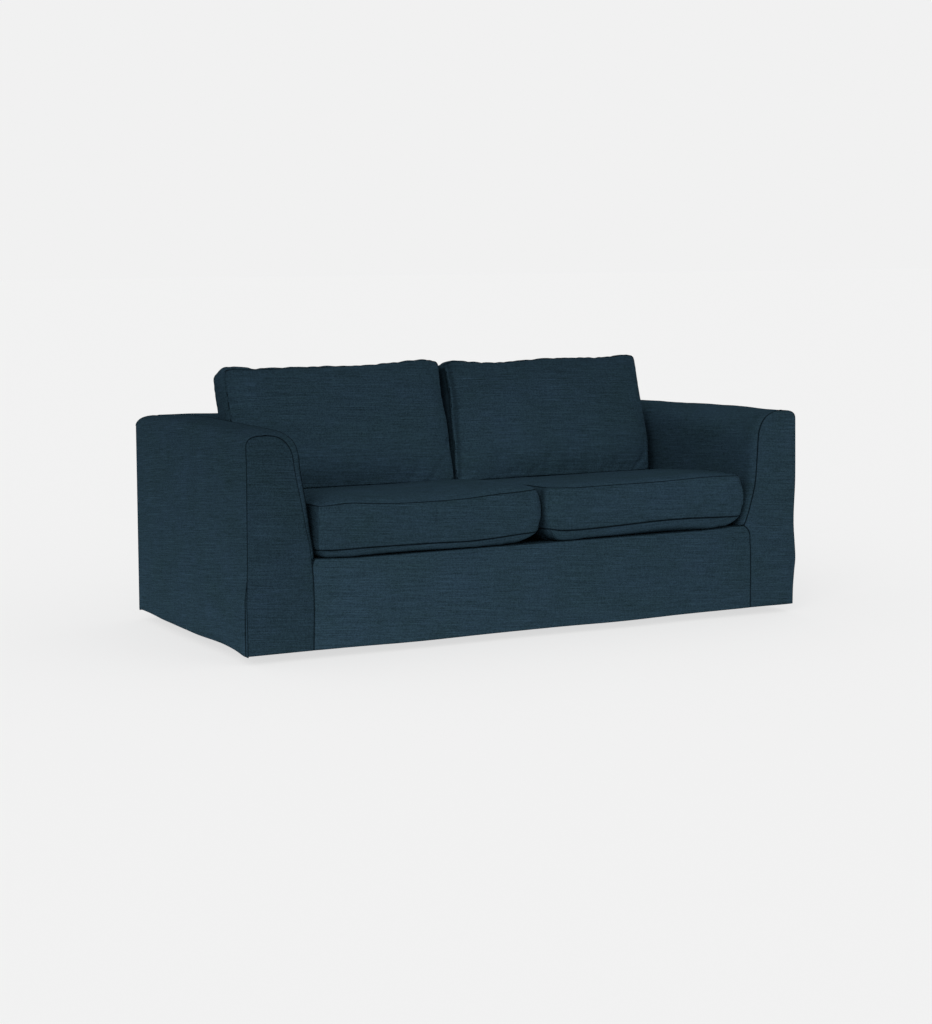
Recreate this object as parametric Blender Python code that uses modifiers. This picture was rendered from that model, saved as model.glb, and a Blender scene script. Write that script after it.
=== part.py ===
"""Slipcover for a two-seat sofa: eight cloth panels sewn into a hollow cover, and four box cushions.

Units are metres, +Z up, +Y from the front of the sofa to its back. The pieces are modelled from the middle of
the front at hem height, and hang from one empty that puts the row's origin under the top of the back rail,
where the sofa carries the cover.
"""

from math import cos, radians, sin, tan

import bmesh
import bpy
import numpy as np
from mathutils import Vector

# Overall size
WIDTH = 1.860
DEPTH = 0.866
SHOULDER = 0.520        # height where the padded tops of arms and back start to curve over
CROWN = 0.060           # from the outer face in to the crown line
HAUNCH = 0.034          # from the crown down to where the outer faces start to curve over
DECK_FRONT = 0.260      # seat deck at its front corners
DECK_DIP = 0.0045       # how much lower the deck's front edge lies between them
DECK_SLOPE = tan(radians(4.5))

# Cloth
CLOTH = 0.002
GAP = 0.0003
SEAM_IN = CLOTH + GAP   # a panel that ends behind another panel starts this far in

# Rounding of a padded top: exponents of its two superellipse quarters
OUTER_POWER = 3.0
INNER_POWER = 2.3
OUTER_ANGLES = (0, 12, 28, 48, 68, 90)

# Crown lines of the arms, from the front seam to the back rail: height over the shoulder
CROWN_ROWS = (
    # depth   left    right
    (0.000, 0.0930, 0.0940),
    (0.015, 0.1005, 0.0932),
    (0.040, 0.1045, 0.0925),
    (0.110, 0.1050, 0.0900),
    (0.220, 0.1050, 0.0890),
    (0.350, 0.1045, 0.0865),
    (0.560, 0.1035, 0.0780),
    (0.680, 0.1000, 0.0740),
    (0.750, 0.0945, 0.0715),
    (0.806, 0.0890, 0.0690),
)

# Inner face of the arms and of the back, from the shoulder down to the deck.
# height at the front, thickness of the left arm, right arm and back there, and how far the padding of each arm
# stands past its front seam
INNER_ROWS = (
    # height  left    right   back    left_pad  right_pad
    (0.520, 0.1500, 0.1430, 0.175, 0.029, 0.021),
    (0.450, 0.1630, 0.1465, 0.180, 0.026, 0.018),
    (0.390, 0.1735, 0.1510, 0.186, 0.024, 0.017),
    (0.330, 0.1845, 0.1660, 0.192, 0.021, 0.016),
    (0.290, 0.1935, 0.1780, 0.198, 0.020, 0.014),
    (0.260, 0.1965, 0.1915, 0.205, 0.018, 0.014),
)
PAD_LENGTH = 0.011      # how fast the padding fills out behind the front seam

# Share of the padding round the inner side of the top, by angle from the shoulder up to the crown
ROUND_ROWS = (
    # angle  left  right
    (72, 0.72, 0.30),
    (54, 1.02, 0.65),
    (36, 1.08, 0.90),
    (18, 1.04, 1.00),
)

# Seam between a facing and the front panel, below the deck
LOWER_ROWS = (
    # height  left    right
    (0.260, 0.1965, 0.1915),
    (0.250, 0.1972, 0.1790),
    (0.236, 0.1988, 0.1705),
    (0.210, 0.2010, 0.1680),
    (0.170, 0.2030, 0.1650),
    (0.110, 0.2035, 0.1637),
    (0.050, 0.2025, 0.1630),
    (0.000, 0.2015, 0.1625),
)

# How far the upright front seam strays from a straight line
SEAM_STRAY = (
    # height  left    right
    (0.000, 0.0000, 0.0015),
    (0.050, 0.0000, 0.0020),
    (0.105, 0.0012, 0.0058),
    (0.140, 0.0020, 0.0090),
    (0.197, 0.0004, 0.0050),
    (0.240, -0.0008, 0.0008),
    (0.400, -0.0018, 0.0028),
    (0.520, -0.0020, 0.0005),
    (0.580, -0.0010, -0.0010),
)

# Soft waves along the hem: each lifts the edge and swings the cloth above it
HEM_WAVES = (
    # panel     middle   half_width  lift    swing
    ("left", 0.01, 0.05, -0.004, 0.002),
    ("left", 0.20, 0.13, 0.006, -0.003),
    ("left", 0.50, 0.16, 0.005, 0.004),
    ("left", 0.80, 0.13, 0.005, -0.002),
    ("right", 0.12, 0.07, -0.002, 0.003),
    ("right", 0.42, 0.12, 0.004, -0.003),
    ("right", 0.72, 0.09, 0.002, 0.003),
    ("front", -0.38, 0.20, -0.003, 0.003),
    ("front", -0.04, 0.15, -0.002, -0.003),
    ("front", 0.28, 0.18, -0.003, 0.003),
    ("front", 0.60, 0.12, -0.001, -0.002),
    ("front", 0.90, 0.06, -0.001, 0.000),
    ("back", -0.62, 0.14, 0.003, 0.004),
    ("back", -0.15, 0.16, -0.003, -0.003),
    ("back", 0.38, 0.15, 0.003, 0.004),
    ("back", 0.74, 0.08, -0.002, -0.002),
)
HEM_FADE = 0.16         # height over which a wave dies away

# A slack fold along the left arm's front seam
FOLD_HEIGHT = 0.145
FOLD_HALF = 0.055
FOLD_IN = 0.010
FOLD_DEPTH = 0.004

# Box cushions that lie on the deck, and the heights of their front seams across the width
SEAT_CUSHIONS = (
    # name                 left     right   front    rear   crown  sole   dent
    ("seat_cushion_left", -0.7050, 0.0100, -0.0060, 0.640, 0.021, 0.032, 0.000),
    ("seat_cushion_right", 0.0312, 0.7360, -0.0050, 0.640, 0.018, 0.046, 0.014),
)
SEAT_SEAMS = (
    # across left_top left_low right_top right_low
    (0.00, 0.4090, 0.2835, 0.4190, 0.2951),
    (0.07, 0.4105, 0.2810, 0.4167, 0.2885),
    (0.13, 0.4128, 0.2812, 0.4148, 0.2870),
    (0.22, 0.4079, 0.2815, 0.4150, 0.2878),
    (0.36, 0.4030, 0.2810, 0.4156, 0.2910),
    (0.53, 0.4020, 0.2795, 0.4160, 0.2955),
    (0.66, 0.4042, 0.2775, 0.4185, 0.2967),
    (0.79, 0.4104, 0.2815, 0.4210, 0.2947),
    (0.89, 0.4132, 0.2865, 0.4205, 0.2925),
    (1.00, 0.4175, 0.2890, 0.4175, 0.2905),
)
SEAT_SIZES = {row[0]: row[1:] for row in SEAT_CUSHIONS}
SIDE_ARCH = 0.006       # how far the top seam of a seat cushion rises half way along its sides

# Box cushions that stand on them and lean on the back rail: heights of the front seam's foot, the side edges of
# that seam by height, and its top edge across the width
LEAN = radians(18.0)
BACK_SEAM_Y = 0.572     # front seam of the back cushions, at the next height
BACK_SEAM_Z = 0.604
BACK_BAND = 0.092
BACK_CUSHIONS = (
    # name                  foot    outer_side
    ("back_cushion_left", 0.3720, -1),
    ("back_cushion_right", 0.3700, 1),
)
BACK_EDGES = (
    # height  left_cushion      right_cushion
    (0.385, -0.7220, -0.0110, -0.0035, 0.7120),
    (0.440, -0.7270, -0.0095, 0.0010, 0.7200),
    (0.490, -0.7310, -0.0100, 0.0060, 0.7260),
    (0.530, -0.7350, -0.0080, 0.0080, 0.7265),
    (0.575, -0.7360, -0.0070, 0.0110, 0.7225),
    (0.620, -0.7365, -0.0105, 0.0154, 0.7195),
    (0.660, -0.7365, -0.0121, 0.0187, 0.7185),
    (0.700, -0.7370, -0.0095, 0.0172, 0.7190),
    (0.760, -0.7380, -0.0050, 0.0125, 0.7230),
)
BACK_TOPS = (
    # across  left    right
    (0.00, 0.7610, 0.7570),
    (0.10, 0.7535, 0.7510),
    (0.20, 0.7505, 0.7450),
    (0.30, 0.7505, 0.7440),
    (0.45, 0.7498, 0.7480),
    (0.60, 0.7508, 0.7500),
    (0.75, 0.7550, 0.7518),
    (0.85, 0.7595, 0.7538),
    (0.95, 0.7625, 0.7572),
    (1.00, 0.7625, 0.7590),
)

COLOURS = {
    # part            linear red, green, blue
    "panel": (0.0185, 0.0370, 0.0540),
    "seat_cushion": (0.0175, 0.0350, 0.0510),
    "back_cushion": (0.0160, 0.0320, 0.0470),
}
ROUGHNESS = 0.88


def column(table, value, number):
    """The value of a table's numbered column at a place between its rows."""
    rows = sorted(table)
    return float(np.interp(value, [r[0] for r in rows], [r[number] for r in rows]))


def smoothstep(t):
    t = min(max(t, 0.0), 1.0)
    return t * t * (3 - 2 * t)


def side_x(side, inward):
    """The x of a point that lies this far in from the outer face of the left (-1) or right (1) arm."""
    return side * (WIDTH / 2 - inward)


def which(side):
    """The table column of an arm: 1 for the left, 2 for the right."""
    return 1 if side < 0 else 2


def rise(side, y):
    """How far the crown of an arm stands over the shoulder at depth y."""
    return column(CROWN_ROWS, y, which(side))


def rail_rise(x):
    """The same for the back rail, which runs from the rear of one arm's crown line to the other's."""
    return float(np.interp(x, [side_x(-1, CROWN), side_x(1, CROWN)], [rise(-1, DEPTH), rise(1, DEPTH)]))


def outer_quarter(angle):
    """How far in, and what share of the way up, a point of the tight outer rounding lies."""
    a = radians(angle)
    inward = CROWN * (1 - cos(a) ** (2 / OUTER_POWER)) if angle < 90 else CROWN
    return inward, sin(a) ** (2 / OUTER_POWER)


def inner_quarter(angle, thickness):
    """The same for the large inner rounding, which runs from the crown line to the shoulder."""
    a = radians(angle)
    inward = CROWN + (thickness - CROWN) * cos(a) ** (2 / INNER_POWER)
    return inward, sin(a) ** (2 / INNER_POWER)


def hem_wave(panel, along, height):
    """Lift of the hem and swing of the cloth at a place on one panel."""
    lift = 0.0
    swing = 0.0
    fade = max(0.0, 1 - height / HEM_FADE) ** 1.5
    for name, middle, half, up, out in HEM_WAVES:
        if name == panel:
            bump = np.exp(-(((along - middle) / half) ** 2))
            lift += up * bump * fade
            swing += out * bump * fade
    return lift, swing


def deck_front(x):
    """Height of the deck's front edge: level, and a little higher at its two corners."""
    edge = min(max((abs(x) - 0.60) / 0.10, 0.0), 1.0)
    return DECK_FRONT - DECK_DIP * (1 - edge)


def deck_height(x, y):
    return deck_front(x) - DECK_SLOPE * y


def inner_height(row_height, floor):
    """Height of an inner row once its foot stands on the deck instead of at the front corner's height."""
    share = (SHOULDER - row_height) / (SHOULDER - DECK_FRONT)
    return SHOULDER - share * (SHOULDER - floor)


def inner_rows(side):
    """The rows of an arm's inner face from the crown down: thickness, back's thickness, padding, and its height
    as (share of the rise) round the top or (height at the front) below the shoulder."""
    arm = which(side)
    top = INNER_ROWS[0]
    rows = []
    for turn in ROUND_ROWS:
        inward, share = inner_quarter(turn[0], top[arm])
        back, _ = inner_quarter(turn[0], top[3])
        rows.append((inward, back, top[arm + 3] * turn[arm], share, None))
    for row in INNER_ROWS:
        rows.append((row[arm], row[3], row[arm + 3], 0.0, row[0]))
    return rows


def corner_z(crown_rise):
    """Height where an outer face starts to curve over, below a crown that stands this far over the shoulder."""
    return SHOULDER + crown_rise - HAUNCH


def inner_z(side, row, x, y):
    """Height of a point of an arm's inner row at depth y."""
    if row[4] is None:
        return SHOULDER + rise(side, y) * row[3]
    return inner_height(row[4], deck_height(x, y) + GAP)


def padding(row, y):
    """How far the padding has filled out at depth y."""
    return row[2] * (1 - np.exp(-max(y - SEAM_IN, 0.0) / PAD_LENGTH))


def corner_point(side, row):
    """Where an inner row of an arm meets the same row of the inside back."""
    y = DEPTH - row[1]
    x = side_x(side, row[0] + padding(row, y))
    return Vector((x, y, inner_z(side, row, side_x(side, row[0]), y)))


# Building blocks

def new_object(name, bm, material):
    mesh = bpy.data.meshes.new(name)
    bm.to_mesh(mesh)
    bm.free()
    mesh.materials.append(material)
    obj = bpy.data.objects.new(name, mesh)
    parts.objects.link(obj)
    obj.parent = hem_frame
    return obj


def bent_grid(name, rows, columns, place, outward, keep=None):
    """A grid whose vertex in row r and column c goes to place(r, c), given thickness on its hidden side.

    outward is a direction on the side that shows. keep(r, c) says whether the cell above that row and column
    is cloth.
    """
    bm = bmesh.new()
    bmesh.ops.create_grid(bm, x_segments=columns - 1, y_segments=rows - 1, size=1)
    where = {}
    for v in bm.verts:
        c = round((v.co.x + 1) / 2 * (columns - 1))
        r = round((v.co.y + 1) / 2 * (rows - 1))
        where[v] = (r, c)
    if keep:
        spare = [f for f in bm.faces if not keep(*min(where[v] for v in f.verts))]
        bmesh.ops.delete(bm, geom=spare, context="FACES")
    for v in bm.verts:
        v.co = place(*where[v])
    bmesh.ops.remove_doubles(bm, verts=bm.verts, dist=0.00005)
    bm.normal_update()
    middle = max(bm.faces, key=lambda f: f.calc_area())
    if middle.normal.dot(Vector(outward)) < 0:
        bmesh.ops.reverse_faces(bm, faces=bm.faces)
    sheet = new_object(name, bm, cloth_material("panel"))
    sheet.data.shade_smooth()
    wall = sheet.modifiers.new("cloth thickness", "SOLIDIFY")
    wall.thickness = CLOTH
    wall.offset = -1
    wall.use_even_offset = True
    return sheet


def cloth_material(part):
    """The dyed cloth of one kind of piece."""
    material = bpy.data.materials.get(part)
    if material:
        return material
    material = bpy.data.materials.new(part)
    material.use_nodes = True
    shader = material.node_tree.nodes["Principled BSDF"]
    shader.inputs["Base Color"].default_value = (*COLOURS[part], 1)
    shader.inputs["Roughness"].default_value = ROUGHNESS
    shader.inputs["Metallic"].default_value = 0
    return material


# Arm wraps

OUTER_HEIGHTS = (0.0, 0.05, 0.11, 0.14, 0.18, 0.24, 0.33, 0.42, 0.51)
FRONT_SHARES = (0.0, 0.012, 0.030, 0.060, 0.12, 0.22, 0.36, 0.52, 0.68, 0.84, 1.0)


def outer_face(side, y, height):
    """A point of an arm's outer face, with its hem wave, stray seam and slack fold."""
    lift, swing = hem_wave("left" if side < 0 else "right", y, height)
    stray = column(SEAM_STRAY, height, which(side)) * np.exp(-y / 0.10)
    fill = 0.002 * sin(radians(180 * min(max(y / DEPTH, 0), 1)))
    slack = 0.0
    if side < 0:
        along = (height - FOLD_HEIGHT) / FOLD_HALF
        across = (y - FOLD_IN) / (0.6 * FOLD_IN)
        slack = -FOLD_DEPTH * np.exp(-along * along - across * across)
    out = stray + slack + (swing + fill) * smoothstep(y / 0.05) * smoothstep((DEPTH - y) / 0.05)
    return Vector((side_x(side, -out), y, height + lift))


def arm_wrap(side):
    """One cloth: the arm's outer face, its top and its inner face, down to the deck.

    Rows run up the outer face, over the crown and down the inner face. Columns run from the front seam to the
    corner with the inside back, and the rows of the outer face and the top go on to the rear seam.
    """
    inner = inner_rows(side)
    first_top = len(OUTER_HEIGHTS)
    crown_row = first_top + len(OUTER_ANGLES) - 1
    rows = crown_row + 1 + len(inner)
    front_columns = len(FRONT_SHARES)
    rear_angles = OUTER_ANGLES[-2::-1]
    columns = front_columns + len(rear_angles)

    def place(r, c):
        row = inner[r - crown_row - 1] if r > crown_row else None
        roll = 1.0
        if c < front_columns:
            end = DEPTH - (row[1] if row else CROWN)
            if row:
                end -= GAP
            y = SEAM_IN + 0.0002 + FRONT_SHARES[c] * (end - SEAM_IN - 0.0002)
        else:
            inward, roll = outer_quarter(rear_angles[c - front_columns])
            y = DEPTH - inward
        if r < first_top:
            return outer_face(side, y, OUTER_HEIGHTS[r])
        if r <= crown_row:
            inward, share = outer_quarter(OUTER_ANGLES[r - first_top])
            corner = corner_z(rise(side, y))
            foot = outer_face(side, y, corner)
            stray = (foot.x - side_x(side, 0)) * (1 - inward / CROWN)
            return Vector((side_x(side, inward) + stray, y, corner + HAUNCH * share * roll))
        x = side_x(side, row[0] + padding(row, y))
        return Vector((x, y, inner_z(side, row, side_x(side, row[0]), y)))

    def keep(r, c):
        return c < front_columns - 1 or r < crown_row

    name = "arm_wrap_left" if side < 0 else "arm_wrap_right"
    return bent_grid(name, rows, columns, place, (side, 0, 0), keep)


# Facings and front panel

FACING_COLUMNS = (0.0, 0.10, 0.30, 0.50, 0.70, 0.90, 1.0)


def facing_edges(side):
    """The two edges of a facing, row by row from the hem to the crown: ((x, z) outer, (x, z) inner)."""
    arm = which(side)
    inner = []
    for row in reversed(LOWER_ROWS[1:]):
        inner.append((side_x(side, row[arm]), row[0]))
    for row in reversed(INNER_ROWS):
        inner.append((side_x(side, row[arm]), row[0]))
    for turn in reversed(ROUND_ROWS):
        inward, share = inner_quarter(turn[0], INNER_ROWS[0][arm])
        inner.append((side_x(side, inward), SHOULDER + rise(side, 0) * share))
    inner.append((side_x(side, CROWN), SHOULDER + rise(side, 0)))
    straight = len(inner) - len(OUTER_ANGLES) + 1
    corner = corner_z(rise(side, 0))
    outer = []
    for i in range(straight):
        height = corner * i / straight
        outer.append((outer_face(side, 0, height).x, height))
    for angle in OUTER_ANGLES[:-1]:
        inward, share = outer_quarter(angle)
        stray = (outer_face(side, 0, corner).x - side_x(side, 0)) * (1 - inward / CROWN)
        outer.append((side_x(side, inward) + stray, corner + HAUNCH * share))
    outer = outer[:len(inner) - 1] + [inner[-1]]
    return list(zip(outer, inner))


def arm_facing(side):
    """The flat panel on the front of an arm, a little fuller in the middle."""
    edges = facing_edges(side)

    def place(r, c):
        (x0, z0), (x1, z1) = edges[r]
        t = FACING_COLUMNS[c]
        x = x0 + (x1 - x0) * t
        z = z0 + (z1 - z0) * t
        fill = 0.18 * (x1 - x0) ** 2 * (1 - (2 * t - 1) ** 2) * smoothstep(z / 0.1)
        lift, swing = hem_wave("front", x, z)
        return Vector((x, -fill - swing * 4 * t * (1 - t), z + lift))

    name = "arm_facing_left" if side < 0 else "arm_facing_right"
    return bent_grid(name, len(edges), len(FACING_COLUMNS), place, (0, -1, 0))


def front_panel():
    """The border between the facings, from the hem to the front edge of the deck."""
    heights = [row[0] for row in reversed(LOWER_ROWS)]
    columns = 15

    def place(r, c):
        height = heights[r]
        row = LOWER_ROWS[len(heights) - 1 - r]
        left = side_x(-1, row[1]) + GAP
        right = side_x(1, row[2]) - GAP
        t = c / (columns - 1)
        x = left + (right - left) * t
        z = height * deck_front(x) / DECK_FRONT
        lift, swing = hem_wave("front", x, height)
        inside = smoothstep(min(t, 1 - t) / 0.06)
        fill = 0.003 * inside * sin(radians(180 * height / DECK_FRONT))
        return Vector((x, -fill - swing * inside, z + lift))

    return bent_grid("front_panel", len(heights), columns, place, (0, -1, 0))


# Deck, inside back and outside back

def seat_deck():
    """The flat cloth under the seat cushions, sloping down to the back."""
    shares = (0.0, 0.012, 0.03, 0.07, 0.14, 0.30, 0.50, 0.72, 0.90, 1.0)
    middle = (-0.70, -0.60, -0.36, -0.12, 0.12, 0.36, 0.60, 0.70)
    columns = len(middle) + 2
    left_row = inner_rows(-1)[-1]
    right_row = inner_rows(1)[-1]
    rear = DEPTH - left_row[1] - GAP

    def place(r, c):
        y = SEAM_IN + 0.0002 + shares[r] * (rear - SEAM_IN - 0.0002)
        left = side_x(-1, left_row[0] + padding(left_row, y)) + GAP
        right = side_x(1, right_row[0] + padding(right_row, y)) - GAP
        x = (left, *middle, right)[c]
        return Vector((x, y, deck_height(x, y)))

    return bent_grid("seat_deck", len(shares), columns, place, (0, 0, 1))


def inside_back():
    """One cloth: up the inside of the back, over the rail and down to the rear seam."""
    left_rows = inner_rows(-1)[::-1]
    right_rows = inner_rows(1)[::-1]
    rear_angles = OUTER_ANGLES[::-1]
    columns = 13

    def place(r, c):
        t = 0.5 - 0.5 * cos(radians(180 * c / (columns - 1)))
        if r < len(left_rows):
            a = corner_point(-1, left_rows[r])
            b = corner_point(1, right_rows[r])
            a.x += GAP
            b.x -= GAP
            p = a.lerp(b, t)
            if left_rows[r][4] is not None:
                p.z = inner_z(-1, left_rows[r], p.x if 0 < c < columns - 1 else WIDTH / 2, p.y)
            return p
        inward, share = outer_quarter(rear_angles[r - len(left_rows)])
        x = (WIDTH / 2 - CROWN - GAP) * (2 * t - 1)
        return Vector((x, DEPTH - inward, corner_z(rail_rise(x)) + HAUNCH * share))

    return bent_grid("inside_back", len(left_rows) + len(rear_angles), columns, place, (0, -1, 0.3))


def outside_back():
    """The plain panel across the back, from the hem to the rear seam."""
    shares = (0.0, 0.09, 0.19, 0.35, 0.63, 1.0)
    columns = 13
    half = WIDTH / 2 - SEAM_IN

    def place(r, c):
        t = c / (columns - 1)
        x = half * (2 * t - 1)
        height = shares[r] * (corner_z(rail_rise(x)) - 0.0008)
        lift, swing = hem_wave("back", x, height)
        return Vector((x, DEPTH + swing * smoothstep(min(t, 1 - t) / 0.08), height + lift))

    return bent_grid("outside_back", len(shares), columns, place, (0, 1, 0))


# Cushions

def crowd(t, power=1.7):
    """Moves evenly spaced values in -1..1 towards the ends, where a cushion curves most."""
    return (1 if t > 0 else -1) * (1 - (1 - abs(t)) ** power)


def cushion_block(cells):
    """A cube of -1..1 cut into cells along its three axes."""
    bm = bmesh.new()
    bmesh.ops.create_cube(bm, size=2)
    for axis in range(3):
        along = [
            e for e in bm.edges
            if abs((e.verts[0].co - e.verts[1].co)[axis]) > 1.9
        ]
        bmesh.ops.subdivide_edges(bm, edges=along, cuts=cells[axis] - 1, use_grid_fill=True)
    return bm


def rounded(a, b, power):
    """Pulls a point of the square -1..1 in, so that the square's outline becomes a rounded one."""
    reach = max(abs(a), abs(b))
    if reach == 0:
        return a, b
    length = (abs(a / reach) ** power + abs(b / reach) ** power) ** (1 / power)
    return a / length, b / length


def full(a, b, power=3.0, edge=0.6):
    """Share of a panel's crown at a point: 1 in the middle and 0 on the seam."""
    return (max(0.0, 1 - abs(a) ** power) * max(0.0, 1 - abs(b) ** power)) ** edge


def seat_seam(name, x, y, above):
    """Height of a seat cushion's top (above) or bottom seam: uneven in front, straighter towards the rear."""
    left, right, front, rear = SEAT_SIZES[name][:4]
    which_seam = (1 if name.endswith("left") else 3) + (0 if above else 1)
    here = column(SEAT_SEAMS, (x - left) / (right - left), which_seam)
    usual = column(SEAT_SEAMS, 0.7, which_seam)
    depth = min(max((y - front) / (rear - front), 0.0), 1.0)
    height = usual + (here - usual) * (1 - depth) - DECK_SLOPE * (y - front)
    if above:
        height += SIDE_ARCH * 4 * depth * (1 - depth)
    return height


def seat_crown(name, x, y):
    """How far the top of a seat cushion stands over its seam."""
    left, right, front, rear, crown, _, dent = SEAT_SIZES[name]
    a = min(abs(2 * (x - left) / (right - left) - 1), 1.0)
    b = min(abs(2 * (y - front) / (rear - front) - 1), 1.0)
    pressed = dent * smoothstep((y - 0.33) / 0.20)
    return (crown * (1 - b ** 3) ** 0.8 - pressed * (1 - b ** 6)) * (1 - a ** 5) ** 0.4


def seat_cushion(name):
    """A box cushion: crowned top, a boxing band between two seams, and a sole that flattens on the deck."""
    left, right, front, rear, _, sole, _ = SEAT_SIZES[name]
    bm = cushion_block((14, 12, 4))
    for v in bm.verts:
        a, b, c = crowd(v.co.x), crowd(v.co.y), v.co.z
        p, q = rounded(a, b, 17)
        x0 = left + (right - left) * (p + 1) / 2
        y0 = front + (rear - front) * (q + 1) / 2
        low = seat_seam(name, x0, y0, False)
        high = seat_seam(name, x0, y0, True)
        z = low + (high - low) * (c + 1) / 2
        if c > 0.99:
            z += seat_crown(name, x0, y0)
        if c < -0.99:
            z -= sole * full(a, b, 6, 0.5)
        band = 1 - c * c
        x = x0 + 0.010 * band * p
        y = y0 + 0.006 * band * q
        v.co = (x, y, max(z, deck_height(x, y) + GAP))
    return new_object(name, bm, cloth_material("seat_cushion"))


def seat_top(x, y):
    """Height of the seat cushions' tops where the back cushions stand on them, looking a little to each side."""
    best = 0.0
    for name, (left, right, *_) in SEAT_SIZES.items():
        for near in (x - 0.025, x, x + 0.025):
            if left - 0.01 <= near <= right + 0.01:
                best = max(best, seat_seam(name, near, y, True) + seat_crown(name, near, y))
    return best


def back_cushion(name, foot, outer):
    """A box cushion that leans back, full in front, with its corners drawn up and its foot flat on the seat."""
    bm = cushion_block((14, 3, 11))
    up = Vector((0, sin(LEAN), cos(LEAN)))
    out = Vector((0, -cos(LEAN), sin(LEAN)))
    base = Vector((0, BACK_SEAM_Y - (BACK_SEAM_Z - foot) * tan(LEAN), foot))
    edge = 1 if outer < 0 else 3
    for v in bm.verts:
        a, b, c = crowd(v.co.x), v.co.y, crowd(v.co.z)
        p, q = rounded(a, c, 22 if c > 0 else 36)
        band = 1 - b * b
        top = column(BACK_TOPS, (p + 1) / 2, which(outer))
        height = foot + (top - foot) * (q + 1) / 2
        left = column(BACK_EDGES, height, edge) - band * (0.006 if outer < 0 else 0.0025)
        right = column(BACK_EDGES, height, edge + 1) + band * (0.006 if outer > 0 else 0.0025)
        x = left + (right - left) * (p + 1) / 2
        rise_up = (height - foot) / cos(LEAN) + 0.004 * band * max(q, 0) ** 8
        depth = BACK_BAND * (b + 1) / 2
        if b < -0.99:
            depth -= 0.030 * full(a, c, 2.4, 0.7)
        if b > 0.99:
            depth += 0.034 * full(a, c, 3, 0.7)
        point = base + up * rise_up - out * depth
        point.x = x
        point.z = max(point.z, seat_top(x, point.y) + 0.0008)
        v.co = point
    return new_object(name, bm, cloth_material("back_cushion"))


for old in list(bpy.data.objects):
    bpy.data.objects.remove(old)

# Where the sofa carries the cover: under the crown of the back rail, half way along
MOUNT = Vector((0, DEPTH - CROWN, SHOULDER + rail_rise(0) - CLOTH))

parts = bpy.data.collections.new("sofa_slipcover")
bpy.context.scene.collection.children.link(parts)
hem_frame = bpy.data.objects.new("hem_frame", None)
hem_frame.location = -MOUNT
parts.objects.link(hem_frame)

for arm_side in (-1, 1):
    arm_wrap(arm_side)
    arm_facing(arm_side)
front_panel()
seat_deck()
inside_back()
outside_back()
for seat in SEAT_SIZES:
    seat_cushion(seat)
for back in BACK_CUSHIONS:
    back_cushion(*back)
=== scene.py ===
import math

import bmesh
import bpy
import numpy as np
from mathutils import Euler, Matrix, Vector


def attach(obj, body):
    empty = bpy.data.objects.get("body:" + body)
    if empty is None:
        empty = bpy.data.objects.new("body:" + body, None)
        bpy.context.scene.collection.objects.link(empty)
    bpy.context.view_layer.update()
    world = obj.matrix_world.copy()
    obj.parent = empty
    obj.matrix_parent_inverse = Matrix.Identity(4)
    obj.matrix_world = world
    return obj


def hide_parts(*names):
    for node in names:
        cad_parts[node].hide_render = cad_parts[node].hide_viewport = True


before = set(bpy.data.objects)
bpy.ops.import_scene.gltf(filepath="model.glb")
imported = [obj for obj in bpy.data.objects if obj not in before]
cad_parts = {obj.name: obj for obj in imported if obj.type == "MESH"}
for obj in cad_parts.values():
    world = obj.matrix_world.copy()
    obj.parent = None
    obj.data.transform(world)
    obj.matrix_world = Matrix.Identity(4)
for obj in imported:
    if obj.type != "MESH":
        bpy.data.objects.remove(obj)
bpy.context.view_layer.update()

# Main sizes of the cover in metres. Heights count from the hem, depths (y) from the front face backwards.
cover = {
    "width": 1.86,
    "depth": 0.866,
    "shoulder": 0.52,        # where the padded tops start to curve over
    "crown": 0.06,           # from the outer face in to the crown line
    "haunch": 0.034,         # from the crown down to where the outer faces curve over
    "outerPower": 3,         # powers of the curves over to the outside and to the inside
    "innerPower": 2.3,
    "deckFront": 0.26,
    "deckDip": 0.0045,
    "dipFlat": 0.6,          # half the width of the dip's flat part
    "dipEdge": 0.1,
    "deckSlope": math.tan(math.radians(4.5)),
    "cloth": 0.002,
    "lap": 0.0004,           # how far sewn edges pass over each other, so that no light comes through a seam
    "tuck": 0.0045,          # how far the deck's sides pass under the arms' cloth
    "stand": 0.0003,         # clearance of the seat cushions over the deck
    "seamIn": 0.0016,        # how far an edge lies behind the face that it is sewn to
    "hemFade": 0.16,         # height at which the hem's waves have died away, and how they fade
    "hemPower": 1.5,
    "closeSteps": (0, 0.0012, 0.0027, 0.0046, 0.007, 0.0103, 0.015),  # rows of points beside a seam
}

# Crown lines of the arms: depth, left, right
crownRows = (
    (0, 0.093, 0.094), (0.015, 0.1005, 0.0932), (0.04, 0.1045, 0.0925), (0.11, 0.105, 0.09),
    (0.22, 0.105, 0.089), (0.35, 0.1045, 0.0865), (0.56, 0.1035, 0.078), (0.68, 0.1, 0.074),
    (0.75, 0.0945, 0.0715), (0.806, 0.089, 0.069),
)

# Soft waves along the hem: middle, half width, lift, swing
hemWaves = {
    "left": ((0.01, 0.05, -0.004, 0.002), (0.2, 0.13, 0.006, -0.003), (0.5, 0.16, 0.005, 0.004),
             (0.8, 0.13, 0.005, -0.002)),
    "right": ((0.12, 0.07, -0.002, 0.003), (0.42, 0.12, 0.004, -0.003), (0.72, 0.09, 0.002, 0.003)),
    "front": ((-0.38, 0.2, -0.003, 0.003), (-0.04, 0.15, -0.002, -0.003), (0.28, 0.18, -0.003, 0.003),
              (0.6, 0.12, -0.001, -0.002), (0.9, 0.06, -0.001, 0)),
    "back": ((-0.62, 0.14, 0.003, 0.004), (-0.15, 0.16, -0.003, -0.003), (0.38, 0.15, 0.003, 0.004),
             (0.74, 0.08, -0.002, -0.002)),
}


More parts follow.
